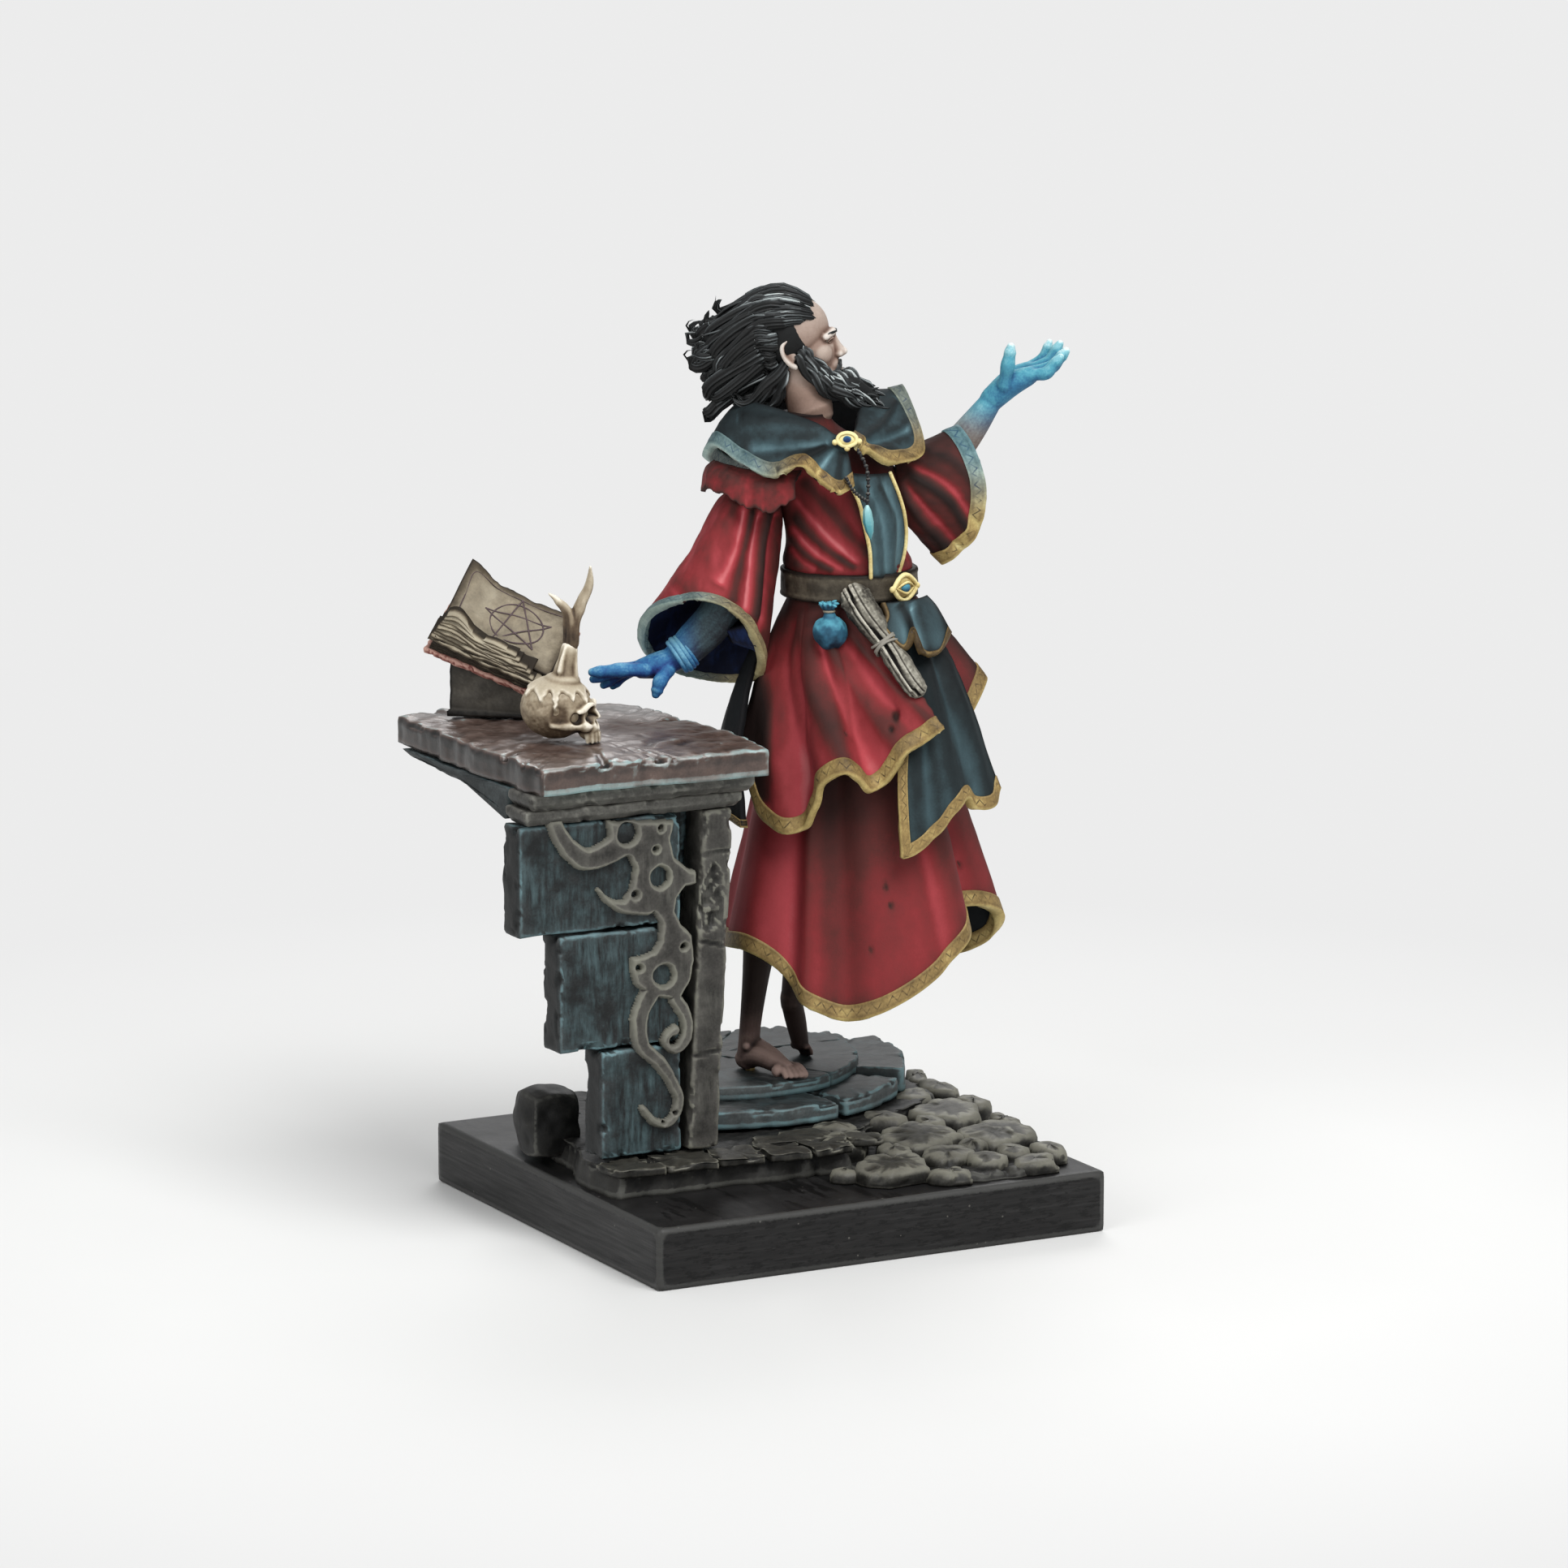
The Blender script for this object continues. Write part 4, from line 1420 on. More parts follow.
over = folded(over, [
    ([(-4.4, 49.2), (-7.2, 42.8), (-6.8, 35.4), (-5.6, 30)], (0.7, 1.3), 0.45),
    ([(-3.9, 48.9), (-5.3, 42.8), (-4.4, 36.7), (-2.8, 31)], (0.6, 1.2), -0.6),
    ([(-3.3, 48.4), (-2.6, 41.5), (-0.6, 36.7), (1.2, 33)], (0.6, 1.5), 0.55),
    ([(-2.3, 46.8), (-0.3, 41.5), (1.7, 37.2), (3.4, 33.8)], (0.6, 1.1), -0.55),
    ([(-1.2, 46.4), (0.6, 42.5), (3.2, 39), (6.2, 35.4)], (0.6, 1.3), 0.5),
    ([(0.0, 46.4), (3.5, 41.5), (5.7, 39.2), (8.0, 37)], (0.6, 1.0), -0.45),
    ([(1.0, 46.6), (5.2, 41.8), (7.2, 40), (9.4, 37.8)], (0.4, 0.6), 0.35)],
    open_end=True)
over = rumpled(over, 1.8, 0.06, 37, stretch=(1, 1, 0.6))
torn = 0.22 * rough(over[:, -1], 0.8, 5, 3)
over[:, -3:] += torn[:, None, None] * np.array((1.0, 0.0, 0.4)) * np.array((0.3, 0.65, 1.0))[None, :, None]
shade = 0.22 * smooth_step(over[..., 2], 41.5, 48)
shade = shade + 0.3 * smooth_step(over[..., 0], -6.8, -9.0) * (over[..., 1] < 3)
shade = shade - 0.12 * smooth_step(over[..., 2], 38.0, 33.0)
turned_in = smooth_step(over[..., 0], -6.0, -7.4) * smooth_step(over[..., 2], 43, 38)
turned_in = turned_in * smooth_step(over[..., 2], 28.4, 29.6)
shade = shade + 0.5 * turned_in * (over[..., 1] < 0)
over, shade = moth_eaten(over, shade,
                         ((6.0, 38.6, 0.28, 0.5), (5.5, 37.4, 0.22, 0.3), (1.0, 36.8, 0.12, 0.1)), 0.5, -5)
cloth_piece("over_robe_cloth", over, 0.5, RED, ["over_robe"], LINING, False, shade, 2.0)
trim_piece("over_robe_border", [hem_band(over, HEM_WIDTH)], ["over_robe"], back=-0.58)
print("over-robe hem", round(float(lengths(over[-1])[-1]), 1), "mm long")

# %% [markdown]
# ## Apron and lining
# A dark teal apron hangs from the belt under the open edge, bordered at its side and foot. At the left a
# strip of the over-robe's dark lining is blown out beside it. A short flap of the apron's cloth hangs over
# its top.

# %% Apron and lining
def belt_row(bearings, out, level):
    return [(*waist(np.radians(b), 1.55 + out), level) for b in bearings]


apron_rings = [belt_row((-60, -48, -36, -24, -12), 0.6, 48.3), belt_row((-62, -49, -36, -23, -10), 2.0, 45.3),
               [(6.6, -9.6, 39.4), (8.6, -9.4, 39.5), (10.4, -8.4, 39.6), (12.0, -6.9, 39.7),
                (13.2, -5.2, 39.8)],
               [(6.3, -11.3, 32.0), (8.8, -11.2, 32.2), (11.4, -9.8, 32.6), (13.6, -7.7, 33.0),
                (15.4, -5.2, 33.4)],
               [(6.7, -12.0, 24.3), (9.6, -11.2, 25.4), (12.4, -9.4, 28.2), (14.3, -8.2, 29.9),
                (16.6, -5.2, 30.0)]]
apron = loft(apron_rings, 90, 100, closed=False)
foot_line = spline([(6.7, 24.3), (8.1, 24.6), (9.8, 25.6), (11.2, 26.8), (12.6, 28.6), (13.6, 29.7),
                    (14.4, 29.8), (15.3, 28.6), (15.9, 28.5), (16.7, 30.2)], 90)
drop = np.linspace(0, 1, 100)[:, None] ** 3
apron[..., 2] += drop * (foot_line[:, 1] - apron[-1, :, 2])[None]
apron = folded(apron, [([(7.4, 47), (8.6, 38), (9.6, 26)], (0.4, 0.9), -0.35),
                       ([(8.4, 47), (10.4, 38), (12.4, 28)], (0.5, 1.0), 0.45),
                       ([(9.2, 46), (11.8, 38), (14.2, 30)], (0.5, 0.9), -0.5),
                       ([(9.8, 46), (13.0, 38), (15.6, 29)], (0.4, 0.8), 0.45)], open_end=True)
apron = rumpled(apron, 1.8, 0.08, 41)
cloth_piece("apron_cloth", apron, 0.7, TEAL, ["front_apron"], LINING,
            shade=0.2 * smooth_step(apron[..., 2], 40, 47) + 0.06, wide=1.8)
trim_piece("apron_border", [hem_band(apron, 1.25), hem_band(side_grid(apron[54:]), 0.85)],
           ["front_apron"], back=-0.78)
lining_rings = [[(-7.4, 2.0, 46), (-7.8, 0.2, 46), (-7.2, -1.6, 46)],
                [(-10.2, 1.8, 39), (-10.4, -1.2, 39), (-9.3, -3.4, 39)],
                [(-11.8, 1.6, 34), (-11.6, -2.4, 33.4), (-9.9, -6.0, 33)],
                [(-11.8, -0.6, 29), (-11.4, -4.6, 27.6), (-9.4, -8.6, 26.8)]]
lining = rumpled(loft(lining_rings, 70, 110, closed=False), 2.0, 0.12, 43)
cloth_piece("lining_cloth", lining, 0.7, LINING, ["robe_lining"], LINING)
trim_piece("lining_border", [hem_band(lining, 0.7)], ["robe_lining"], back=-0.78)
flap_grid = loft([belt_row((-66, -56, -47, -38, -26, -14), 1.0, 49.2),
                  belt_row((-66, -56, -47, -37, -26, -13), 2.0, 48.1),
                  [(4.6, -8.6, 47.2), (6.7, -9.6, 45.2), (7.8, -8.9, 46.8), (8.7, -9.2, 44.8),
                   (10.4, -7.2, 44.4), (11.4, -5.0, 46.4)]], 70, 50, closed=False)
flap_grid = folded(flap_grid, [([(6.2, 49), (7.6, 46.6)], 0.5, 0.35), ([(7.6, 49), (8.5, 46)], 0.4, -0.4)],
                   open_end=True)
cloth_piece("flap_cloth", flap_grid, 0.5, TEAL, ["belt_flap"], LINING, shade=-0.16,
            wide=1.0)
trim_piece("flap_border", [hem_band(flap_grid, 0.3, rows=4), hem_band(side_grid(flap_grid), 0.3, rows=4)],
           ["belt_flap"], back=-0.58, front=0.1, paint=GOLD)

# %% [markdown]
# ## Belt and what hangs from it
# The belt is an oval hoop with raised rims: one section is drawn and run round the waist. The buckle is an
# oval tube round a flat ball, with a blue stone between two bowed rods.

# %% Belt
def hoop(rings):
    """Faces of rings that close on themselves both ways."""
    rows, columns = rings.shape[:2]
    faces = grid_faces(rows, columns, True)
    last = (rows - 1) * columns
    faces += [[last + k, last + (k + 1) % columns, (k + 1) % columns, k] for k in range(columns)]
    return rings.reshape(-1, 3), faces


around = np.linspace(0, 2 * np.pi, 240, endpoint=False)
belt_profile = [(0.4, 51.8), (1.25, 51.85), (1.45, 51.75), (1.46, 51.5), (1.4, 51.3), (1.4, 50.8),
                (1.41, 50.3), (1.4, 49.8), (1.4, 49.5), (1.46, 49.3), (1.45, 49.1), (1.25, 48.98),
                (0.4, 49.0)]
belt_rings = np.array([np.column_stack([waist(around, out), np.full(240, z)]) for out, z in belt_profile])
belt_rings += 0.05 * rough(belt_rings, 0.9, 61, 3)[..., None]
dress(placed("belt_band", hoop(belt_rings), FIGURE), LEATHER, ["belt"], near=0.25)
buckle_turn = (Matrix.Translation((*waist(math.radians(-42), 1.95), 50.4))
               @ Matrix.Rotation(math.radians(48), 4, "Z"))
oval = [(-1.75, 0, 0), (-0.9, 0, 0.95), (0, 0, 1.3), (0.9, 0, 0.95), (1.75, 0, 0), (0.9, 0, -0.95),
        (0, 0, -1.3), (-0.9, 0, -0.95), (-1.75, 0, 0)]
buckle_parts = [tube(oval, [0.24] * 9, 8, 60), ball((0, 0.2, 0), (1.5, 0.3, 1.05), 4),
                tube([(-1.3, -0.1, 0.0), (0, -0.32, 0.55), (1.3, -0.1, 0.0)], [0.09, 0.14, 0.09], 8, 20),
                tube([(-1.3, -0.1, 0.0), (0, -0.32, -0.55), (1.3, -0.1, 0.0)], [0.09, 0.14, 0.09], 8, 20)]
for x in (-1.85, 1.85):
    buckle_parts.append(ball((x, 0, 0), (0.34, 0.3, 0.34), 3))
buckle = placed("buckle_frame", gather(buckle_parts), FIGURE @ buckle_turn)
dress(buckle, GOLD, ["belt_buckle"], near=0.2)
gem = ball((0, -0.05, 0), (0.62, 0.42, 0.5), 4)
dress(placed("buckle_stone", gem, FIGURE @ buckle_turn), POUCH_BLUE, ["belt_buckle"], near=0.2)
print("belt", round(belt_profile[0][1] - belt_profile[-1][1], 1), "mm high")

# %% [markdown]
# The pouch is a melted ball with a gathered neck: nine short rods fan out above the cord. The roll of
# parchment is a waisted rod with grooves pressed along it, tied by four turns of cord.

# %% Pouch and scroll
px, py = waist(math.radians(-104), 2.6)
sack = ball((px, py, 46.3), (1.75, 1.5, 1.75), 4)
sack = (sack[0] + unit(sack[0] - (px, py, 46.3)) * (0.12 * rough(sack[0], 0.9, 3, 3))[:, None], sack[1])
neck = [tube([(px, py, 47.4), (px - 0.1, py, 48.4), (px - 0.15, py, 49.0)], [0.9, 0.5, 0.45], 16, 10)]
for k in range(9):
    a = 2 * math.pi * k / 9
    c, s = math.cos(a), math.sin(a)
    neck.append(tube([(px - 0.1 + 0.25 * c, py + 0.25 * s, 48.5),
                      (px - 0.15 + 0.62 * c, py + 0.62 * s, 49.1 + 0.12 * math.sin(3 * a)),
                      (px - 0.15 + 0.95 * c, py + 0.8 * s, 49.2 + 0.2 * math.sin(2 * a))],
                     [0.22, 0.26, 0.14], 8, 8))
pouch = melted("pouch_bag", [sack, *neck], 0.09, smooth=3)
dress(settle(pouch, FIGURE), POUCH_BLUE, ["pouch"], near=0.3, wide=1.2)
cord = tube([(px + 0.5 * math.cos(a) - 0.1, py + 0.5 * math.sin(a), 48.45)
             for a in np.linspace(0, 2 * math.pi, 13)], [0.13] * 13, 8, 40)
dress(placed("pouch_cord", cord, FIGURE), LEATHER, ["pouch"], near=0.2)
head = np.array((*waist(math.radians(-84), 2.0), 49.3))
roll_way = np.array((0.56, -0.36, -0.78))
roll = [tube([head + roll_way * s for s in (-0.4, 2.4, 4.9, 7.0, 10.2)], [1.6, 1.5, 1.0, 1.25, 1.15], 22, 70,
             up=(0, 1, 0))]
across = unit(np.cross(roll_way, (0.0, -1.0, 0.0)))
outward = unit(np.cross(across, roll_way))
outward = outward if outward[1] < 0 else -outward
spiral = [tube([head + roll_way * s + across * 0.35 + outward * (w + 0.06)
                for s, w in ((-0.2, 1.4), (2.4, 1.3), (4.9, 0.9), (7.0, 1.1), (10.4, 1.0))],
               [0.4, 0.4, 0.3, 0.34, 0.34], 10, 60)]
scroll = melted("scroll_roll", roll + spiral, 0.085, smooth=2)
points, normal = co_of(scroll), normals_of(scroll)
side = (points - head) @ across
depth = (points - head) @ roll_way
facing = normal @ outward > 0.1
for at, deep, wide in ((0.08, 0.42, 0.13), (0.72, 0.25, 0.08), (-0.55, 0.14, 0.07)):
    line = side - at - 0.1 * np.sin(0.8 * depth)
    points -= normal * (facing * deep * bump(line, 0.0, wide))[:, None]
points += normal * (0.06 * rough(points, 0.7, 15, 3) * (1 + (np.abs(depth - 0.2) < 0.8)))[:, None]
set_co(scroll, points)
mask_layer(scroll, "shade", 0.75 * facing * bump(side - 0.08 - 0.1 * np.sin(0.8 * depth), 0.0, 0.13)
           + 0.3 * smooth_step(np.abs(side), 0.9, 1.5))
dress(settle(scroll, FIGURE), ROLL, ["scroll"], near=0.22, wide=0.9)
tie = []
for k, s in enumerate((4.55, 4.85, 5.15, 5.45)):
    middle = head + roll_way * s + across * 0.08
    ring = [middle + 1.26 * (math.cos(a) * across + math.sin(a) * outward) + roll_way * 0.3 * math.sin(a + k)
            for a in np.linspace(0, 2 * math.pi, 13)]
    tie.append(tube(ring, [0.15] * 13, 8, 44))
dress(placed("scroll_cord", gather(tie), FIGURE), LECTERN, ["scroll"], near=0.2)
print("pouch and scroll made")

# %% [markdown]
# ## Upper body
# The torso is lofted through ovals. Its red cloth is pulled down to the right under the dark stole, so its
# folds are drawn as slanting strokes.

# %% Torso
def oval_ring(x, y, z, half_wide, half_deep, count=28):
    a = np.linspace(0, 2 * np.pi, count, endpoint=False)
    return np.column_stack([x + half_wide * np.cos(a), y + half_deep * np.sin(a),
                            np.full(count, z + CHEST[2])])


trunk = loft([oval_ring(*row) for row in ((-3.2, -0.8, 17.6, 2.5, 2.5), (-2.8, -0.4, 16.2, 3.0, 2.8),
                                          (-1.6, 0.4, 14.0, 5.2, 4.0), (-0.2, 0.6, 11.2, 6.6, 4.6),
                                          (0.6, 0.2, 8.0, 6.2, 5.1), (0.9, 0.0, 4.6, 5.9, 5.2),
                                          (1.2, 0.0, 2.5, 6.5, 5.8), (1.4, 0.0, 1.3, 6.2, 5.5),
                                          (1.4, 0.0, 0.0, 5.6, 5.0))], 190, 100)
trunk = folded(trunk, [([(-3.4, 61.4), (-0.1, 57.6), (3.4, 53.4)], (0.8, 0.6), 0.30),
                       ([(-4.4, 59.2), (-1.1, 55.8), (2.5, 52.8)], (0.5, 0.4), -0.27),
                       ([(-4.4, 57.6), (-1.1, 54.5), (2.2, 52.4)], (0.5, 0.4), 0.25),
                       ([(-4.7, 56.2), (-2.1, 53.9), (0.9, 52.3)], (0.4, 0.35), -0.22),
                       ([(-4.6, 55.2), (-2.4, 53.3), (-0.1, 52.2)], (0.45, 0.35), 0.22),
                       ([(-4.7, 54.0), (-3.4, 52.9), (-1.9, 52.2)], 0.35, -0.18),
                       ([(1.6, 60.4), (2.7, 56.6), (3.5, 53)], (0.7, 0.5), 0.18),
                       ([(5.6, 58), (6.4, 54.0), (6.2, 52.2)], 0.6, 0.18)], True)
trunk = rumpled(trunk, 1.4, 0.07, 47, True)
trunk_shade = 0.24 * smooth_step(trunk[..., 0], -2.4, -5.4) + 0.22 * smooth_step(trunk[..., 2], 60.6, 63.5)
cloth_piece("torso_cloth", trunk, 1.2, RED, ["torso"], LINING, True, trunk_shade, 1.3)
print("torso", round(float(trunk[..., 2].max() - trunk[..., 2].min()), 1), "mm high")

# %% [markdown]
# The stole is a narrow sheet over the chest with a gold cord along each side. The cords are tubes that follow
# the first and last column of its grid.

# %% Stole
stole = loft([np.array(row) + CHEST for row in (
    [(0.6, -6.9, 12.4), (2.4, -6.6, 12.2), (3.8, -6.0, 12.1), (5.4, -4.8, 12.0)],
    [(2.2, -7.2, 9.6), (3.6, -6.7, 9.4), (5.0, -5.9, 9.2), (6.5, -4.4, 9.0)],
    [(2.9, -6.9, 6.8), (4.3, -6.3, 6.7), (5.7, -5.4, 6.6), (7.0, -3.8, 6.4)],
    [(3.4, -6.5, 4.4), (4.8, -5.9, 4.3), (5.9, -5.0, 4.2), (6.9, -3.6, 4.0)],
    [(3.5, -6.1, 1.6), (4.6, -5.6, 1.6), (5.6, -4.8, 1.6), (6.4, -3.6, 1.6)])], 80, 110, closed=False)
stole = folded(stole, [([(1.8, 61.6), (3.7, 57.4), (4.5, 52.4)], (0.5, 0.45), 0.19),
                       ([(2.8, 61.6), (4.7, 57.4), (5.1, 52.4)], (0.4, 0.35), -0.18),
                       ([(3.8, 61.6), (5.5, 57.6), (5.7, 52.4)], (0.45, 0.4), 0.19),
                       ([(4.6, 61.4), (6.2, 57.6), (6.2, 53.0)], (0.35, 0.35), -0.17)], open_end=True)
stole = rumpled(stole, 1.3, 0.08, 49)
cloth_piece("stole_cloth", stole, 0.7, TEAL, ["stole"], LINING, shade=-0.1, wide=1.0)
piping = [tube(stole[::6, 0] + (0, -0.05, 0), [0.2] * len(stole[::6]), 8, 90),
          tube(stole[::6, -1] + (0.05, 0, 0), [0.2] * len(stole[::6]), 8, 90)]
dress(placed("stole_piping", gather(piping), FIGURE), GOLD, ["stole"], near=0.2)

# %% [markdown]
# ## Capelet
# The capelet stands up round the neck, spreads over the shoulders and is caught by a brooch; its right-hand
# front is blown up. Creases run out from the brooch.

# %% Capelet
neck_line = np.array([(1.6, -6.9, 16.0), (2.1, -4.8, 16.9), (2.4, -2.2, 18.0), (3.2, 0.4, 18.9),
                      (4.4, 2.6, 19.5), (2.6, 4.4, 18.9), (0.0, 5.0, 18.4), (-3.6, 5.4, 18.3),
                      (-6.8, 4.4, 18.4), (-8.8, 2.0, 18.6), (-9.2, -0.8, 18.9), (-7.6, -3.6, 18.9),
                      (-5.4, -5.2, 18.4), (-3.2, -6.0, 17.6), (-1.2, -6.6, 16.7), (0.6, -7.2, 15.9)])
cape_hem = np.array([(2.5, -7.9, 15.1), (4.9, -6.4, 13.8), (8.5, -3.2, 12.2), (8.5, -1.0, 15.5),
                     (7.7, 0.8, 17.8), (6.6, 2.4, 19.9), (7.0, 4.8, 16.0), (5.2, 7.4, 12.4), (2.0, 9.0, 10.4),
                     (-4.0, 9.4, 9.6), (-9.4, 7.4, 10.4), (-12.6, 2.5, 12.2), (-13.0, -2.0, 13.6),
                     (-11.6, -5.2, 15.2), (-9.2, -7.6, 13.4), (-6.9, -8.8, 12.2), (-4.5, -9.2, 13.9),
                     (-1.6, -9.9, 12.2), (0.6, -9.6, 10.6), (1.8, -8.8, 11.4)])
cape_hem = spline(cape_hem, len(neck_line))
shoulder = neck_line + (cape_hem - neck_line) * (0.55, 0.55, 0.36)
cape = loft([neck_line + CHEST, shoulder + CHEST, cape_hem + CHEST], 260, 70, closed=False)
cape = folded(cape, [([(-0.2, 66.6), (-4.7, 67.4), (-9.8, 67.4)], (0.4, 0.7), 0.4),
                     ([(-0.2, 65.6), (-4.0, 65.2), (-9.0, 64.8)], (0.4, 0.7), -0.42),
                     ([(-0.7, 65.4), (-3.5, 63.8), (-5.7, 62.5)], (0.4, 0.7), 0.4),
                     ([(0.0, 65.0), (-1.6, 63.0), (-2.4, 61.8)], (0.35, 0.6), -0.34),
                     ([(0.6, 64.6), (0.2, 62.6), (0.4, 61.0)], (0.35, 0.6), 0.34),
                     ([(2.2, 65.4), (4.8, 66.8), (6.2, 68.6)], 0.45, 0.3),
                     ([(2.4, 65.2), (5.2, 65.4), (7.6, 66.0)], 0.4, -0.32),
                     ([(2.4, 65.0), (5.2, 64.4), (8.0, 63.0)], 0.4, 0.28)])
cape = rumpled(cape, 1.8, 0.08, 53, stretch=(1, 1, 1))
cape_shade = -0.05 - 0.1 * smooth_step(np.linspace(0, 1, 70)[:, None], 0.06, 0.0)
cloth_piece("capelet_cloth", cape, 0.75, TEAL, ["capelet"], LINING, shade=cape_shade,
            wide=1.6)


def cool(p):
    """How far the border's gold turns cold: at the left, and on the blown-up right front."""
    right_front = 0.6 * smooth_step(p[:, 2], 63.5, 68.0) * (p[:, 0] > 4)
    return 0.85 * smooth_step(p[:, 0], -3.0, -9.0) + right_front


trim_piece("capelet_border", [hem_band(cape, 1.3), hem_band(side_grid(cape), 0.9)], ["capelet"],
           back=-0.83, glow=cool)
print("capelet hem", round(float(lengths(cape[-1])[-1]), 1), "mm long")

# %% [markdown]
# The brooch is a gold ring with a dark stone and three studs. The pendant hangs from it on beads, and its
# crystal is a six-sided drop with bevelled edges.

# %% Brooch and pendant
brooch = [tube([(1.1 + 0.95 * math.cos(a), -8.5, 65.9 + 0.66 * math.sin(a))
                for a in np.linspace(0, 2 * math.pi, 17)], [0.2] * 17, 8, 48),
          ball((1.1, -8.3, 65.9), (0.9, 0.4, 0.6), 3)]
for x, z in ((-0.1, 65.6), (2.3, 65.7), (1.1, 65.0)):
    brooch.append(ball((x, -8.4, z), (0.3, 0.3, 0.3), 3))
dress(placed("brooch_frame", gather(brooch), FIGURE), GOLD, ["brooch"], near=0.2)
stone = ball((1.1, -8.7, 65.95), (0.42, 0.3, 0.34), 3)
dress(placed("brooch_stone", stone, FIGURE), NAVY, ["brooch"], near=0.2)
beads = []
hang = spline([(2.2, -8.8, 64.8), (3.0, -9.0, 63.2), (3.2, -9.0, 61.4), (3.1, -8.9, 59.6)], 17)
for k, p in enumerate(hang):
    beads.append(ball(p, (0.24, 0.24, 0.2) if k % 2 else (0.15, 0.15, 0.28), 2))
for k, p in enumerate(spline([(1.0, -9.6, 62.2), (1.8, -9.4, 60.8), (3.0, -8.9, 59.8)], 11)):
    beads.append(ball(p, (0.2, 0.2, 0.2), 2))
dress(placed("pendant_chain", gather(beads), FIGURE), CHAIN, ["pendant"], near=0.2)
drop_rings = [(3.1, 59.4, 0.14), (3.1, 58.8, 0.44), (3.2, 57.7, 0.56), (3.35, 56.7, 0.4), (3.45, 55.9, 0.04)]
sixths = np.linspace(0, 2 * math.pi, 6, endpoint=False)
facets = np.array([[(x + r * math.cos(a), -8.9 + r * math.sin(a), z) for a in sixths]
                   for x, z, r in drop_rings[::-1]])
crystal = new_object("pendant_crystal", turned(facets.reshape(-1, 3), FIGURE), grid_faces(5, 6, True) +
                     [[5, 4, 3, 2, 1, 0], [24, 25, 26, 27, 28, 29]])
apply(crystal, "BEVEL", width=0.00006, segments=2)
dress(crystal, CRYSTAL, ["pendant"], near=0.3)
print("beads:", len(beads))

# %% [markdown]
# ## Sleeves
# Both sleeves are wide bells. Their folds run lengthwise and meet at the shoulder. The right sleeve is lined
# in navy and shows its inside, with a blue turned-back cuff.

# %% Right sleeve
right_rings = [[(-9.6, -1.2, 10.6), (-9.0, -2.6, 10.7), (-8.0, -3.2, 10.6), (-7.0, -2.6, 10.4),
                (-6.6, -1.4, 10.3), (-6.8, 0.0, 10.2), (-7.8, 0.8, 10.3), (-9.0, 0.2, 10.5)],
               [(-12.0, -2.2, 8.6), (-11.0, -5.0, 8.9), (-8.6, -5.9, 8.6), (-6.6, -4.8, 8.0),
                (-5.4, -2.2, 7.4), (-5.6, 0.6, 7.0), (-7.6, 2.2, 7.4), (-10.6, 1.0, 8.2)],
               [(-14.9, -3.0, 3.2), (-13.6, -6.4, 4.0), (-10.6, -7.4, 3.4), (-7.6, -6.4, 2.6),
                (-5.9, -3.0, 1.0), (-6.8, 0.2, -1.0), (-9.6, 1.6, -0.6), (-13.4, 0.2, 1.2)],
               [(-19.6, -3.6, -3.2), (-17.0, -7.2, -0.8), (-12.6, -8.7, -0.2), (-8.9, -7.8, -2.6),
                (-7.1, -4.0, -7.2), (-8.6, -0.6, -9.8), (-14.4, 1.2, -9.6), (-19.0, 0.0, -7.2)]]
right_sleeve = loft([np.array(r) + CHEST for r in right_rings], 200, 90)
right_sleeve = folded(right_sleeve,
                      [([(-9.7, 59.6), (-11.7, 55.3), (-15.5, 50)], (0.6, 1.6), 0.35),
                       ([(-9.2, 59.2), (-9.9, 54.5), (-11.7, 51.1)], (0.4, 0.7), -0.4),
                       ([(-8.2, 58.8), (-9.4, 54.2), (-10.4, 49)], (0.35, 0.7), 0.42),
                       ([(-7.4, 58.4), (-8.3, 54.2), (-8.9, 48)], (0.3, 0.5), -0.42),
                       ([(-6.6, 58.4), (-7.4, 54.2), (-8.0, 47)], (0.3, 0.5), 0.4),
                       ([(-5.8, 58.0), (-6.5, 54.5), (-7.4, 46)], (0.3, 0.5), -0.35)], True)
right_sleeve = rumpled(right_sleeve, 1.5, 0.1, 59, True, (1, 1, 0.6))
cloth_piece("right_sleeve_cloth", right_sleeve, 0.7, RED, ["right_sleeve"], NAVY, True,
            0.22 * smooth_step(right_sleeve[..., 0], -9.4, -6.6) - 0.1, 1.5)
blue_glow = lambda p: 0.2 + 0.6 * smooth_step(p[:, 0], -9.0, -16.0)
trim_piece("right_sleeve_border", [hem_band(np.roll(right_sleeve, 60, axis=1), 0.75)],
           ["right_sleeve"], back=-0.78, wrap=True, glow=blue_glow)
print("right sleeve mouth", round(float(lengths(right_sleeve[-1])[-1]), 1), "mm round")

# %% [markdown]
# The left sleeve is thrown back from the raised arm, so its mouth stands upright. Its border turns cold
# towards the glowing hand.

# %% Left sleeve
left_rings = [[(6.0, 1.0, 12.6), (6.0, -0.4, 12.0), (6.0, -1.0, 10.6), (6.0, -0.4, 9.2), (6.0, 1.0, 8.6),
               (6.0, 2.4, 9.2), (6.0, 3.0, 10.6), (6.0, 2.4, 12.0)],
              [(8.0, 1.4, 14.0), (7.8, -0.8, 12.6), (7.6, -1.9, 9.6), (7.5, -1.0, 6.6), (7.6, 1.4, 5.4),
               (8.2, 3.8, 6.6), (8.4, 4.6, 9.8), (8.2, 3.6, 12.8)],
              [(12.2, 1.6, 15.9), (13.9, -0.8, 13.8), (15.0, -1.5, 9.8), (14.2, -0.4, 5.2), (10.8, 1.6, 1.9),
               (11.2, 4.0, 4.4), (12.0, 4.8, 9.0), (12.2, 4.0, 13.4)]]
left_sleeve = loft([np.array(r)[::-1] + CHEST for r in left_rings], 190, 76)
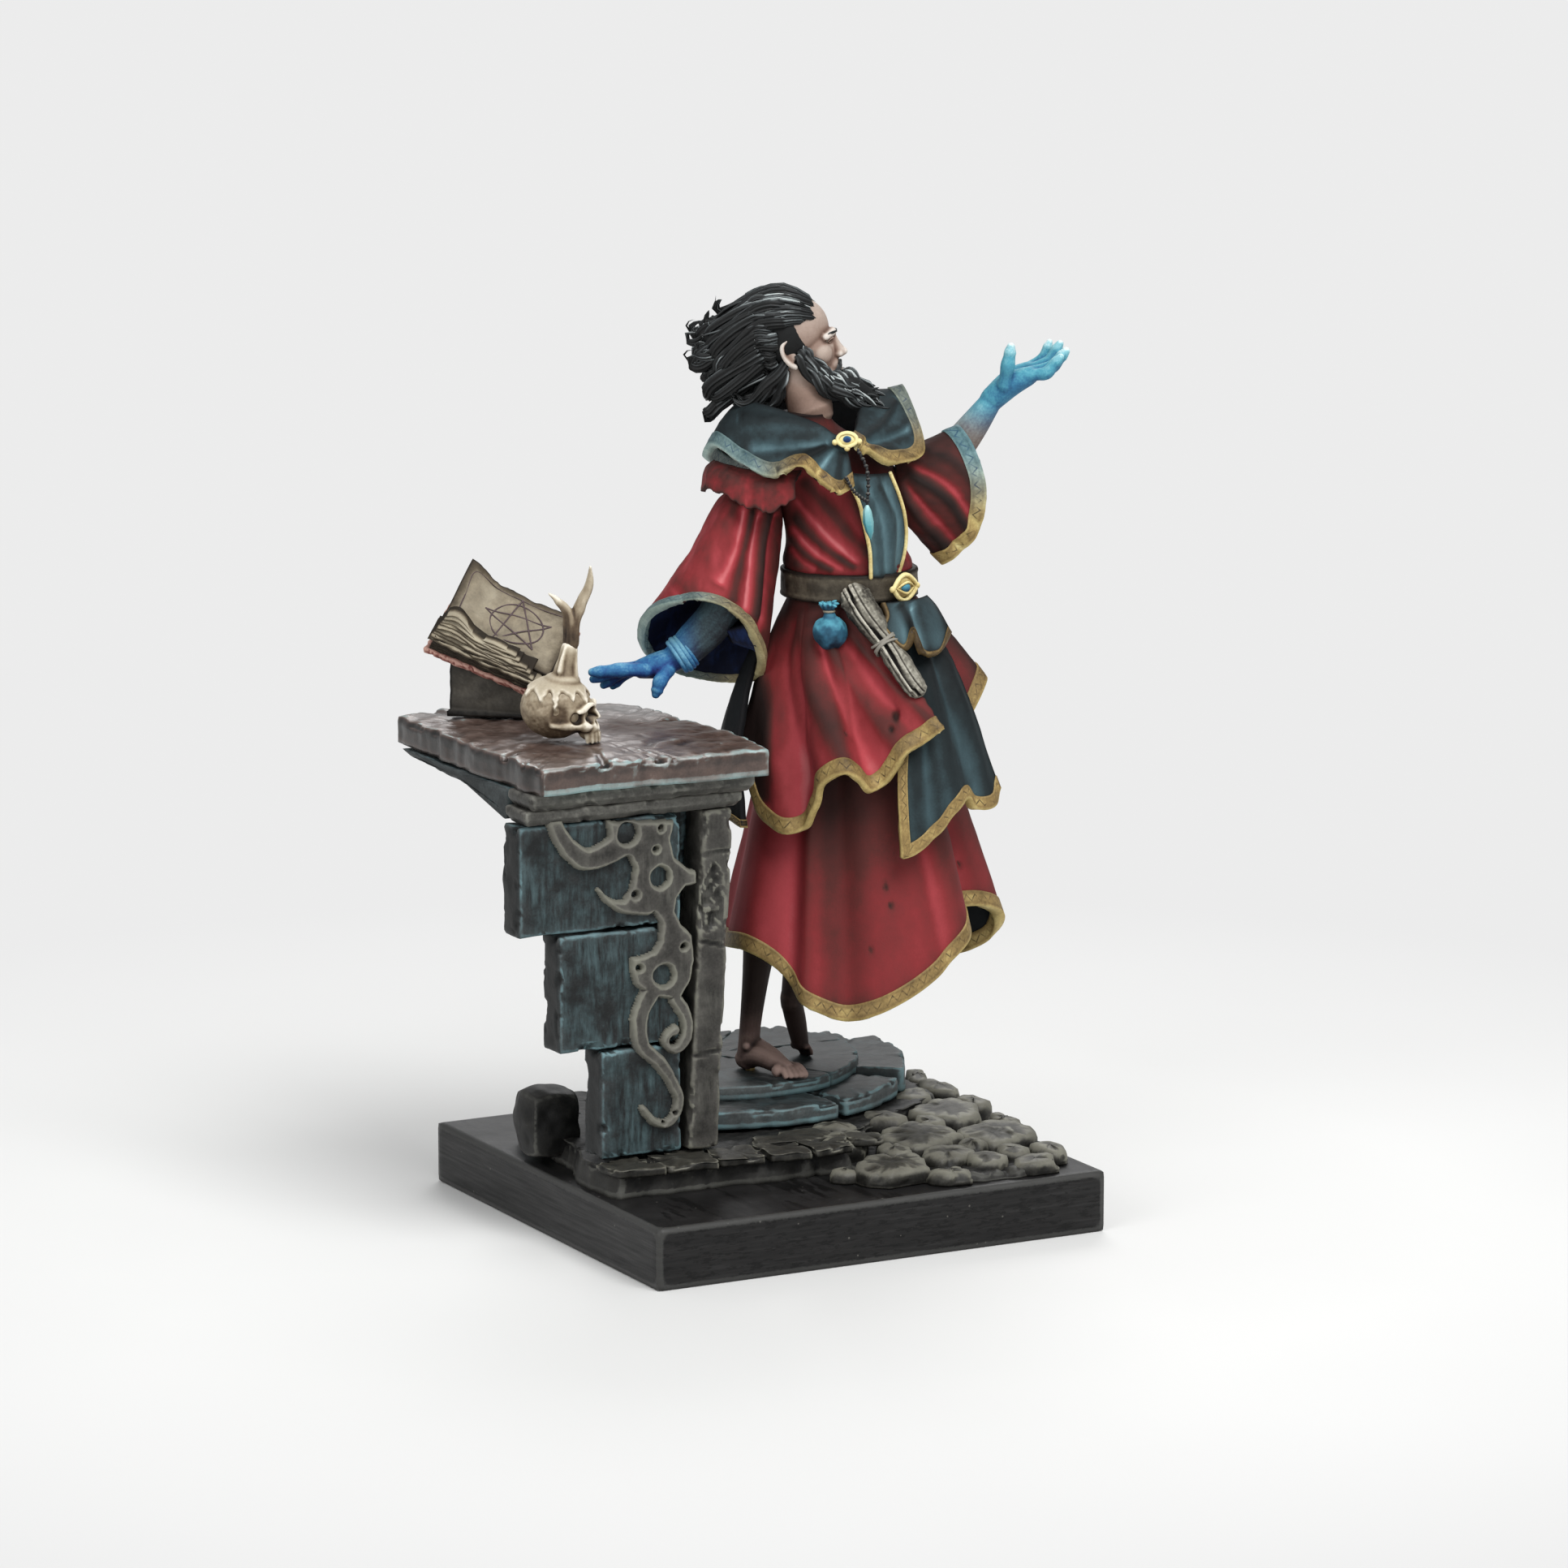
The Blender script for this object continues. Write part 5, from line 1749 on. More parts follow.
left_sleeve = folded(left_sleeve,
                     [([(7.2, 64.2), (11.4, 62.7), (13.8, 60.5)], (0.5, 0.9), 0.26),
                      ([(7.0, 62.6), (11.1, 60.4), (13.6, 56.9)], (0.4, 0.7), -0.33),
                      ([(7.0, 61.6), (11.1, 58.9), (13.0, 56.1)], (0.4, 0.6), 0.29),
                      ([(6.8, 60.8), (9.3, 57.6), (11.3, 55.1)], (0.4, 0.6), -0.29),
                      ([(6.6, 59.6), (8.8, 56.3), (10.5, 54.3)], (0.4, 0.7), 0.26)], True, open_end=True)
left_sleeve = rumpled(left_sleeve, 1.5, 0.08, 67, True, (0.6, 1, 1))
cloth_piece("left_sleeve_cloth", left_sleeve, 0.7, RED, ["left_sleeve"], LINING, True,
            0.22 + 0.2 * smooth_step(left_sleeve[..., 2], 57.5, 53.0), 1.4)
trim_piece("left_sleeve_border", [hem_band(left_sleeve, 1.45)], ["left_sleeve"], back=-0.78,
           wrap=True, glow=lambda p: smooth_step(p[:, 2], 56.0, 64.5))
print("left sleeve mouth", round(float(lengths(left_sleeve[-1])[-1]), 1), "mm round")

# %% [markdown]
# A short, ragged flounce covers the seam at the right shoulder.

# %% Shoulder flounce
seam = np.array([(-12.2, -0.6, 12.8), (-11.8, -3.4, 13.0), (-9.8, -5.8, 12.8), (-6.6, -7.2, 12.4),
                 (-3.4, -6.8, 12.6)]) + CHEST
edge = np.array([(-13.6, -0.6, 10.0), (-13.0, -4.6, 10.2), (-10.6, -7.4, 9.8), (-7.2, -8.8, 9.0),
                 (-4.0, -8.2, 9.4)]) + CHEST
flounce = loft([seam, (seam + edge) / 2 + (-0.3, -0.3, 0.5), edge], 140, 60, closed=False)
ragged = 0.35 * rough(flounce[-1] * (1, 1, 0), 1.0, 4, 3) - 0.3 * np.cos(np.linspace(0, 3 * np.pi, 140))
flounce[..., 2] += ragged[None] * np.linspace(0, 1, 60)[:, None] ** 2
flounce = folded(flounce, [([(-10.6, 62.4), (-11.4, 59.6)], 0.9, 0.2),
                           ([(-8.8, 62.4), (-8.8, 59.0)], 0.8, -0.2),
                           ([(-6.6, 62.0), (-6.2, 58.6)], 0.9, 0.2)], open_end=True)
flounce = rumpled(flounce, 1.2, 0.08, 63, stretch=(1, 1, 1))
cloth_piece("flounce_cloth", flounce, 0.45, RED, ["shoulder_flounce"], RED, False, 0.06,
            1.2)
print("flounce", round(float(lengths(flounce[-1])[-1]), 1), "mm long")

# %% [markdown]
# ## Book
# A thick old book lies open on a wedge. The cover is a worn board, the page block is many thin wavy leaves,
# and the open page lifts at its far corner. A star in a ring is drawn on it with thin raised ink lines that
# follow the page. The book has its own axes: X along its foot, Y up the page.

# %% Book
REST_PLACE, REST_TURN = (-21.6, 15.9, 49.8), math.radians(-37.3)
REST_HEIGHT, BOOK_ROLL, BOOK_SLOPE = 7.2, math.radians(21.7), math.radians(34.5)
LECTERN_FOOT = Matrix.Translation(REST_PLACE) @ Matrix.Rotation(REST_TURN, 4, "Z")
BOOK = (LECTERN_FOOT @ Matrix.Translation((0, 0, REST_HEIGHT)) @ Matrix.Rotation(BOOK_ROLL, 4, "Y")
        @ Matrix.Rotation(BOOK_SLOPE, 4, "X"))
HALF_LONG, HALF_WIDE = 6.55, 5.25
cover, cover_faces = worn_block((-HALF_LONG, -HALF_WIDE, 0.0), (HALF_LONG, HALF_WIDE, 0.7), 501, step=0.2,
                                rounding=0.22, uneven=0.09, chips=0.3, size=1.0)
dress(new_object("book_board", turned(cover, BOOK), cover_faces), COVER, ["book_cover"],
      near=0.25)


def page_level(x, y):
    """Height of the open page over the board: it lifts at the far left corner and sags to the right."""
    left, far = smooth_step(x, -2.5, -6.4), smooth_step(y, -1.0, 5.0)
    return 2.45 + 0.5 * left * (1 - far) + 1.7 * left * far + 0.5 * far * smooth_step(x, -1.0, -4.0) \
        + 0.12 * np.sin(1.1 * x + 0.6 * y) + 0.25 * smooth_step(x, 3.0, 6.0) * far


def leaf(x0, x1, y0, y1, lift, seed, columns=70, rows=50):
    x, y = np.meshgrid(np.linspace(x0, x1, columns), np.linspace(y1, y0, rows))
    flat = np.stack([x, y, 0 * x], -1)
    wave = 0.1 * rough(flat + (0, 0, 9.0 * seed), 1.6, seed, 2)
    edge = 0.16 * rough(flat * (1, 0, 1) + (0, 0, 5.0 * seed), 1.2, seed + 3, 3)
    return np.stack([x, y + edge * smooth_step(np.abs(y), HALF_WIDE - 2.2, HALF_WIDE - 0.6),
                     lift(x, y) + wave], -1)


block_leaves = []
for k in range(9):
    level = 0.78 + 0.17 * k
    block_leaves.append(sheet(leaf(0.45 - HALF_LONG + 0.03 * k, HALF_LONG - 0.5, 0.4 - HALF_WIDE,
                                   HALF_WIDE - 0.5, lambda x,
                                   y: level + (page_level(x, y) - 2.45) * (k / 9) ** 2, 510 + k, 40, 28),
                              0.05, -0.1))
dress(placed("book_leaves", gather(block_leaves), BOOK), PARCHMENT, ["book_pages"],
      near=0.2)
page = leaf(0.5 - HALF_LONG, HALF_LONG - 0.4, 1.6 - HALF_WIDE, HALF_WIDE - 0.4, page_level, 530, 100, 76)
made = placed("book_open_page", sheet(page, 0.09, -0.09), BOOK)
rim = np.minimum(np.minimum(page[..., 0] + 6.0, 6.1 - page[..., 0]),
                 np.minimum(page[..., 1] + 3.6, 4.8 - page[..., 1]))
stain = 0.25 * smooth_step(rim, 1.2, 0.0) + 0.15 * np.clip(rough(page, 1.6, 12, 3), 0, 1)
mask_layer(made, "shade", np.tile(stain.ravel(), 2))
dress(made, PARCHMENT, ["book_pages"], near=0.3)
bunch, bunch_shade = [], []
for k in range(9):
    x0, x1 = 0.1 - HALF_LONG + 0.12 * k, HALF_LONG - 0.6 - 0.5 * k
    y0, y1 = 0.1 - HALF_WIDE + 0.2 * k, 3.0 - HALF_WIDE - 0.05 * k

    def rise(x, y, k=k, x0=x0, x1=x1, y0=y0, y1=y1):
        t, across = (x - x0) / (x1 - x0), (y - y0) / (y1 - y0)
        hump = np.exp(-((t - 0.14) / 0.22) ** 2)
        ripple = 0.2 * np.sin(9 * t + 1.7 * k) * (0.3 + across)
        return 2.0 + (0.16 + 0.2 * hump) * k + 0.5 * hump * across + ripple

    grid = leaf(x0, x1, y0, y1, rise, 540 + k, 60, 16)
    bunch.append(sheet(grid, 0.07, -0.09))
    bunch_shade.append(np.tile((-0.2 + 0.75 * smooth_step(grid[..., 1] - y0, 0.25, 0.8)).ravel(), 2))
made = placed("book_turned_leaves", gather(bunch), BOOK)
mask_layer(made, "shade", np.concatenate(bunch_shade))
dress(made, PARCHMENT, ["book_turning_leaf"], near=0.16, wide=0.8)


def ink_line(path, steps, wide=0.085):
    x, y = spline(path, steps).T
    return tube(np.column_stack([x, y, page_level(x, y) + 0.13]), [wide] * steps, 5, steps, flat=0.6,
                up=(0, 0, 1))


print("leaves:", len(block_leaves) + len(bunch) + 1)

# %% [markdown]
# The drawing is a five-pointed star in a ring, with a border line. Each line is a thin, flattened tube at the
# page's own height, so it bends with the page. The wedge below is a stack of four-cornered rings.

# %% Drawing and book rest
STAR_X, STAR_Y, STAR_R = 0.8, 0.9, 2.75
ring = [(STAR_X + STAR_R * math.cos(a), STAR_Y + 0.92 * STAR_R * math.sin(a))
        for a in np.linspace(0, 2 * math.pi, 25)]
ink = [ink_line(ring, 90)]
tips = [(STAR_X + 1.3 * STAR_R * math.cos(a), STAR_Y + 1.2 * STAR_R * math.sin(a))
        for a in np.radians(np.arange(5) * 144 + 100)]
for k in range(5):
    ink.append(ink_line([tips[k], tips[(k + 1) % 5]], 40))
border = [(-4.9, -2.6), (-5.1, 1.0), (-5.0, 4.0), (-1.0, 4.1), (3.0, 4.2), (5.3, 4.0)]
ink.append(ink_line(border, 90, 0.07))
dress(placed("book_drawing", gather(ink), BOOK), INK, ["book_pages"], near=0.2)
lift = LECTERN_FOOT.inverted() @ BOOK
corner = [(-0.62, -0.72), (0.86, -0.72), (0.62, 0.62), (-0.62, 0.62)]
heads = turned([(x * HALF_LONG, y * HALF_WIDE, -0.25) for x, y in corner], lift)
rows = []
for level in np.linspace(1, 0, 26):
    ring = np.column_stack([heads[:, :2] * (1 + 0.06 * (level < 0.12)), 0.3 + (heads[:, 2] - 0.3) * level])
    closed = np.vstack([ring, ring[:1]])
    at = np.linspace(0, 4, 120, endpoint=False)
    rows.append(np.stack([np.interp(at, np.arange(5), closed[:, k]) for k in range(3)], 1))
wedge = np.array(rows)
wedge[..., :2] += (0.1 * rough(wedge, 1.4, 71, 3))[..., None]
dress(placed("book_rest", capped(wedge), LECTERN_FOOT), LECTERN, ["book_lectern"])
print("lines drawn on the page:", len(ink))

# %% [markdown]
# ## Skull, candle and flame
# The skull is melted from balls and rods: brain case, brow, cheek arches, upper jaw and teeth. The eye and
# nose hollows are pressed in afterwards. Wax from the candle has run down over the crown, and the flame is a
# forked tongue cast in resin.

# %% Skull
SKULL_PLACE, SKULL_TURN = (-22.6, -0.6, 49.8), math.radians(-34)
SKULL = Matrix.Translation(SKULL_PLACE) @ Matrix.Rotation(SKULL_TURN, 4, "Z")
R = 3.2


def sized(*shares):
    """Sizes and places given as shares of the brain case's radius R."""
    return [R * share for share in shares]


CASE, CASE_R = np.array(sized(-0.3, 0, 1.08)), np.array(sized(1.1, 0.92, 0.95))
parts = [ball(CASE, CASE_R, 5), ball(sized(0.42, 0, 0.9), sized(0.52, 0.66, 0.58), 4),
         ball(sized(0.7, 0, 0.47), sized(0.34, 0.42, 0.38), 4),
         tube([sized(0.78, 0, 1.0), sized(0.98, 0, 0.82)], sized(0.18, 0.12), 14, 10)]
for s in (-1, 1):
    cheek = [sized(0.6, s * 0.56, 0.6), sized(0.2, s * 0.74, 0.62), sized(-0.3, s * 0.78, 0.66)]
    brow = [sized(0.84, s * 0.08, 1.16), sized(0.78, s * 0.4, 1.2), sized(0.5, s * 0.66, 1.04)]
    parts += [ball(sized(0.66, s * 0.46, 0.6), sized(0.26, 0.24, 0.2), 4),
              tube(cheek, sized(0.15, 0.12, 0.12), 14, 14), tube(brow, sized(0.11, 0.13, 0.11), 14, 12)]
for k in range(8):
    a = math.radians(-78 + 156 * k / 7)
    x, y = (0.62 + 0.4 * math.cos(a)) * R, 0.37 * math.sin(a) * R
    parts.append(tube([(x, y, 0.3 * R), (x + 0.02 * R, y, 0.06 * R)], sized(0.075, 0.06), 8, 6))
skull = melted("skull_bone", parts, 0.1, smooth=6)
points, normal = co_of(skull), normals_of(skull)
dark = np.zeros(len(points))
hollows = ((0.92, -0.36, 0.92, 0.24, 0.34), (0.92, 0.36, 0.92, 0.24, 0.34), (1.02, 0, 0.62, 0.13, 0.2),
           (-0.1, -0.86, 1.0, 0.3, 0.06), (0.42, -0.62, 0.86, 0.2, 0.12), (0.42, 0.62, 0.86, 0.2, 0.12))
for hollow in hollows:
    *spot, size, deep = sized(*hollow)
    reach = np.linalg.norm(points - spot, axis=1) / size
    hit = np.exp(-reach ** 4)
    points -= normal * (deep * hit)[:, None]
    dark += hit * min(1.0, deep * 0.8)
points += normal * (0.05 * rough(points, 0.8, 81, 3))[:, None]
points[:, 2] = np.maximum(points[:, 2], 0.05)
set_co(skull, points)
mask_layer(skull, "shade", np.clip(0.75 * dark, 0, 0.8) + 0.1 - 0.12
           * smooth_step(points[:, 0], 0.2 * R, 0.9 * R))
dress(settle(skull, SKULL), BONE, ["skull"], near=0.3, wide=1.1)
print("skull", len(skull.data.polygons), "faces")

# %% [markdown]
# The wax is a cap over the brain case whose lower edge runs down in drips, a stub of candle and three runs of
# wax, melted into one skin. The flame is two flattened, tapering rods.

# %% Candle and flame
foot = 1.82 * R
cap, cap_faces = ball(CASE, (1, 1, 1), 5)
way = unit(cap - CASE)
bearing = np.degrees(np.arctan2(way[:, 1], way[:, 0]))
low_edge = 0.62 + 0.14 * rough(np.column_stack([way[:, :2], 0 * bearing]) * 3.0, 1.2, 87, 2)
for at, wide, reach in ((-108, 8, 0.3), (-84, 7, 0.62), (-52, 6, 0.2), (-24, 8, 0.4), (20, 9, 0.25),
                        (70, 10, 0.5), (140, 9, 0.4), (-150, 9, 0.3)):
    low_edge -= reach * bump((bearing - at + 180) % 360 - 180, 0, wide)
thick = smooth_step(way[:, 2] - low_edge, -0.05, 0.06)
cap = CASE + way * CASE_R * (0.93 + 0.145 * thick)[:, None]
wax = [(cap, cap_faces), ball((-0.12 * R, 0, 1.92 * R), (0.58 * R, 0.52 * R, 0.3 * R), 4),
       tube([(-0.2, 0, foot - 0.4), (-0.05, 0, foot + 1.4), (0.2, 0, foot + 2.4), (0.4, 0, foot + 3.5)],
            [1.5, 1.08, 0.92, 0.85], 28, 24)]
for a, z0, z1 in ((-110, 3.7, 1.4), (-20, 3.4, 0.6), (120, 3.6, 1.0)):
    c, s = math.cos(math.radians(a)), math.sin(math.radians(a))
    wax.append(tube([(0.4 + 0.72 * c, 0.72 * s, foot + z0), (0.15 + 0.92 * c, 0.92 * s, foot + (z0 + z1) / 2),
                     (1.1 * c, 1.1 * s, foot + z1)], [0.2, 0.26, 0.34], 10, 12))
candle = melted("candle_wax", wax, 0.11, smooth=4)
mask_layer(candle, "shade", np.full(len(candle.data.vertices), 0.04))
dress(settle(candle, SKULL), BONE, ["candle"], near=0.3, wide=1.0)
top = foot + 4.7
fire = [tube([(0.5, 0, top - 0.7), (0.55, 0, top + 1.0), (0.3, -0.1, top + 2.4), (-0.7, -0.3, top + 3.6),
              (-1.5, -0.4, top + 4.3)], [0.85, 0.85, 0.62, 0.42, 0.14], 12, 20, flat=0.7),
        tube([(0.6, 0, top - 0.6), (0.8, 0, top + 1.2), (1.5, 0.1, top + 3.2), (2.4, 0.2, top + 5.2),
              (2.5, 0.2, top + 7.0)], [0.85, 0.8, 0.62, 0.46, 0.12], 12, 22, flat=0.7)]
flame = melted("flame_tongues", fire, 0.09, smooth=3)
points, normal = co_of(flame), normals_of(flame)
points += normal * (0.1 * rough(points * (1, 1, 0.4), 0.8, 91, 2))[:, None]
set_co(flame, points)
mask_layer(flame, "shade", 0.16 + 0.36 * smooth_step(points[:, 2], top + 4.0, top - 0.5))
dress(settle(flame, SKULL), BONE, ["candle_flame"], near=0.3, wide=1.0)
print("flame", len(flame.data.polygons), "faces")

# %% [markdown]
# ## Hands
# Each hand is melted from rods for the palm and fingers, thicker at the joints. A mask fades the blue in
# along the arm. The right wrist wears a rolled blue band.

# %% Right hand
def finger(a, b, c, size):
    """A finger of three bones through its knuckle, middle joint and tip."""
    a, b, c = [np.array(p, float) + CHEST for p in (a, b, c)]
    path = [a, (a + b) / 2, b, (b + c) / 2, b + 0.72 * (c - b), c]
    return tube(path, np.array([1.12, 0.95, 1.06, 0.86, 0.9, 0.62]) * size, 12, 22)


def arm(points, radii, steps=26):
    return tube(np.array(points, float) + CHEST, radii, 18, steps)


right = [arm([(-8.6, -2.2, 6.0), (-11.2, -3.2, -1.6), (-14.4, -3.8, -5.4), (-16.2, -4.0, -6.9)],
             (2.1, 2.1, 1.9, 1.35)),
         arm([(-15.8, -4.0, -6.8), (-17.6, -4.1, -7.5), (-19.4, -4.2, -7.9)], (1.2, 1.35, 1.05), 14),
         arm([(-16.0, -3.4, -7.0), (-18.0, -2.8, -7.8), (-19.4, -2.6, -8.1)], (1.1, 1.3, 1.0), 14),
         finger((-19.0, -4.9, -7.9), (-21.6, -5.2, -7.9), (-24.4, -5.2, -8.1), 0.72),
         finger((-19.4, -3.9, -7.8), (-22.0, -4.1, -8.1), (-24.3, -4.1, -9.0), 0.72),
         finger((-19.5, -2.9, -7.9), (-21.8, -2.9, -8.6), (-23.3, -3.0, -9.8), 0.68),
         finger((-19.3, -2.0, -8.1), (-21.2, -1.9, -8.9), (-22.4, -2.0, -10.1), 0.6),
         finger((-16.8, -4.9, -7.9), (-17.6, -5.8, -9.0), (-18.0, -6.0, -10.2), 0.74)]
hand = melted("right_hand_skin", right, 0.12, smooth=3)
points = co_of(hand)
mask_layer(hand, "glow", smooth_step(points[:, 0], -13.0, -16.6))
dress(settle(hand, FIGURE), RIGHT_HAND, ["right_hand"], near=0.25, wide=0.9)
wrist = np.array((-15.5, -3.95, -6.5)) + CHEST
way = unit(np.array((-0.83, -0.12, -0.54)))
side = unit(np.cross(way, (0, 1, 0)))
other = np.cross(way, side)
bracer = []
for shift, out, fat in ((0.0, 1.72, 0.34), (0.45, 1.66, 0.26), (-0.45, 1.72, 0.26), (-0.85, 1.7, 0.2)):
    ring = [wrist + way * shift + out * (math.cos(a) * side + math.sin(a) * other)
            for a in np.linspace(0, 2 * math.pi, 17)]
    bracer.append(tube(ring, [fat] * 17, 10, 60))
band_piece = placed("right_wrist_band", gather(bracer), FIGURE)
mask_layer(band_piece, "glow", np.ones(len(band_piece.data.vertices)))
dress(band_piece, RIGHT_HAND, ["right_hand"], near=0.2)
CUFF_BACK, CUFF_SLANT = 3.6, np.array((2.6, 0.6, 0.9))
cuff_rings = [[wrist - way * CUFF_BACK + r * (1.1 * math.cos(a) * side + math.sin(a) * other) + CUFF_SLANT
               * (r / 3.0) for a in np.radians((-70, -30, 10, 50, 90))] for r in (1.5, 2.2, 2.9, 3.4)]
cuff = rumpled(loft(cuff_rings, 60, 40, closed=False), 1.2, 0.12, 73)
cloth_piece("inner_cuff_cloth", cuff, 0.35, NAVY, ["right_hand"], NAVY, shade=-0.2,
            wide=1.0, inner_shade=-0.15)
print("right hand", len(hand.data.polygons), "faces")

# %% [markdown]
# The left hand is raised with its palm up and glows at the fingertips.

# %% Left hand
left = [arm([(7.0, 1.4, 9.4), (10.4, 2.2, 11.4), (13.4, 2.8, 15.0), (16.0, 3.0, 18.6)],
            (1.9, 1.9, 1.6, 1.05)),
        arm([(15.8, 3.0, 18.4), (17.6, 2.6, 19.9), (19.4, 2.4, 20.8)], (1.25, 1.25, 1.0), 14),
        arm([(16.0, 3.2, 18.7), (17.8, 4.2, 20.2), (19.5, 4.4, 21.1)], (1.15, 1.2, 0.95), 14),
        finger((19.2, 2.1, 20.8), (21.2, 1.7, 21.2), (22.6, 1.6, 22.8), 0.66),
        finger((19.6, 2.9, 21.0), (21.8, 2.7, 21.7), (23.2, 2.6, 23.3), 0.68),
        finger((19.7, 3.9, 21.2), (21.6, 3.8, 22.1), (22.6, 3.7, 23.9), 0.66),
        finger((19.5, 4.9, 21.3), (21.0, 4.9, 22.3), (21.6, 4.9, 23.9), 0.58),
        finger((17.0, 1.9, 19.9), (17.3, 1.3, 22.0), (17.6, 1.2, 23.9), 0.72)]
hand = melted("left_hand_skin", left, 0.12, smooth=3)
points = co_of(hand)
mask_layer(hand, "glow", smooth_step(points[:, 2] - CHEST[2] + 0.3 * points[:, 0], 18.2, 23.4))
mask_layer(hand, "shade", 0.12 - 0.2 * smooth_step(points[:, 2] - CHEST[2], 21.6, 23.8))
dress(settle(hand, FIGURE), LEFT_HAND, ["left_hand"], near=0.25, wide=0.9)
print("left hand", len(hand.data.polygons), "faces")

# %% [markdown]
# ## Head
# The face is a general one, built to the proportions drawing books give: the eyes halfway down the head, and
# equal thirds from hairline to brow, brow to the foot of the nose, and there to the chin. It looks to the
# right and a little up.

# %% Head
HEAD_MIDDLE, HEAD_LIFT = Vector((-4.0, 0, 73.6)), math.radians(-9)
TILT = Matrix.Translation(HEAD_MIDDLE) @ Matrix.Rotation(HEAD_LIFT, 4, "Y") @ Matrix.Translation(-HEAD_MIDDLE)
HEAD = FIGURE @ TILT
CHIN, THIRD = 69.9, 2.55
NOSE_FOOT, BROW = CHIN + THIRD, CHIN + 2 * THIRD
EYE = BROW - 0.7


def lips(drop, out, thick):
    """A lip as a bowed rod, thickest in the middle."""
    return tube([(out - 0.4, -0.8, NOSE_FOOT - drop), (out, 0, NOSE_FOOT - drop),
                 (out - 0.4, 0.8, NOSE_FOOT - drop)], [0.14, thick, 0.14], 10, 14)


face = [ball((-4.4, 0, 75.9), (4.1, 3.3, 3.5), 4), ball((-2.4, 0, 73.4), (2.4, 2.45, 3.3), 4),
        ball((-2.2, 0, 71.2), (2.2, 2.05, 1.5), 3), ball((-0.8, 0, CHIN + 0.7), (0.95, 1.0, 0.8), 3),
        ball((-0.85, 0, NOSE_FOOT - 0.7), (1.05, 1.35, 1.25), 4), lips(0.85, 0.26, 0.2),
        lips(1.25, 0.2, 0.24),
        tube([(-0.75, -1.95, BROW - 0.2), (-0.12, -0.8, BROW), (-0.12, 0.8, BROW), (-0.75, 1.95, BROW - 0.2)],
             [0.36, 0.42, 0.42, 0.36], 10, 20),
        tube([(-0.3, 0, BROW + 0.1), (0.05, 0, BROW - 1.2), (0.35, 0, NOSE_FOOT + 0.5)], [0.36, 0.5, 0.64],
             14, 16), ball((0.72, 0, NOSE_FOOT + 0.45), (0.46, 0.44, 0.42), 4),
        tube([(-4.4, 0, 72.6), (-4.0, -0.3, 70.4), (-3.4, -0.6, 67.6)], [2.1, 2.0, 2.3], 44, 20)]
for s in (-1, 1):
    ear = [(-4.0, 2.9, 74.6), (-4.5, 3.2, 75.2), (-5.2, 3.3, 74.7), (-5.2, 3.25, 73.7), (-4.7, 3.1, 72.8),
           (-4.2, 2.9, 72.4)]
    face += [ball((0.3, s * 0.45, NOSE_FOOT + 0.3), (0.4, 0.32, 0.34), 3),
             ball((-1.7, s * 1.35, NOSE_FOOT + 0.75), (1.35, 1.15, 1.35), 4),
             tube([(x, s * y, z) for x, y, z in ear], [0.2, 0.24, 0.26, 0.25, 0.28, 0.3], 10, 26),
             ball((-4.6, s * 2.75, 73.8), (0.7, 0.3, 1.1), 3)]
head = melted("head_skin", face, 0.105, smooth=7)
points = co_of(head)
for s in (-1, 1):
    reach = np.linalg.norm((points - (-0.2, s * 1.05, EYE)) / (0.9, 0.62, 0.4), axis=1)
    points[:, 0] -= 0.26 * np.exp(-reach ** 4)
set_co(head, points)
face_points = points


def face_x(y, z):
    """How far forward the face reaches at a height and a distance from its middle."""
    near = np.hypot(face_points[:, 1] - y, face_points[:, 2] - z) < 0.14
    return float(face_points[near, 0].max())


warm = bump(np.linalg.norm(points - (-0.6, -1.8, NOSE_FOOT + 0.5), axis=1), 0, 0.9)
mouth = bump(np.linalg.norm((points - (0.1, 0, NOSE_FOOT - 1.05)) / (0.8, 1.2, 0.4), axis=1), 0, 1.0)
socket = bump(np.linalg.norm((points - (-0.3, -1.1, EYE)) / (0.8, 0.8, 0.45), axis=1), 0, 1.0)
throat = smooth_step(points[:, 2], 71.2, 69.0)
mask_layer(head, "shade", 0.12 * warm + 0.25 * mouth + 0.2 * socket + 0.2 * throat - 0.04)
dress(settle(head, HEAD), SKIN, ["head"], near=0.3, wide=1.0)
print("head from chin", CHIN, "mm to brow", round(BROW, 1), "mm")

# %% [markdown]
# Eyes are set on the face where the skin really lies, so the place of each is asked from the melted head.
# Each lid is a thin bowed rod.

# %% Eyes
eyes, lids, pupils = [], [], []
for s in (-1, 1):
    deep = face_x(s * 1.05, EYE)
    eyes.append(ball((deep - 0.36, s * 1.05, EYE), (0.44, 0.44, 0.32), 3))
    pupils.append(ball((deep + 0.02, s * 1.05, EYE + 0.02), (0.09, 0.15, 0.15), 3))
    for up, fat in ((0.24, 0.11), (-0.22, 0.085)):
        bow = ((0.6, 0.0), (0.85, 0.85), (1.1, 1.0), (1.35, 0.75), (1.56, -0.1))
        lids.append(tube([(max(face_x(s * y, EYE + up * b), deep + 0.06 * b - 0.05), s * y, EYE + up * b)
                          for y, b in bow],
                         [0.6 * fat, fat, fat, fat, 0.6 * fat], 10, 20))
for name, parts, paint in (("eye_whites", eyes, BONE), ("eye_pupils", pupils, CHAIN),
                           ("eye_lids", lids, SKIN)):
    made = placed(name, gather(parts), HEAD)
    mask_layer(made, "shade", np.full(len(made.data.vertices), 0.3 if paint is SKIN else 0.05))
    dress(made, paint, ["head"], near=0.2)
print("eyes at", round(EYE, 1), "mm")

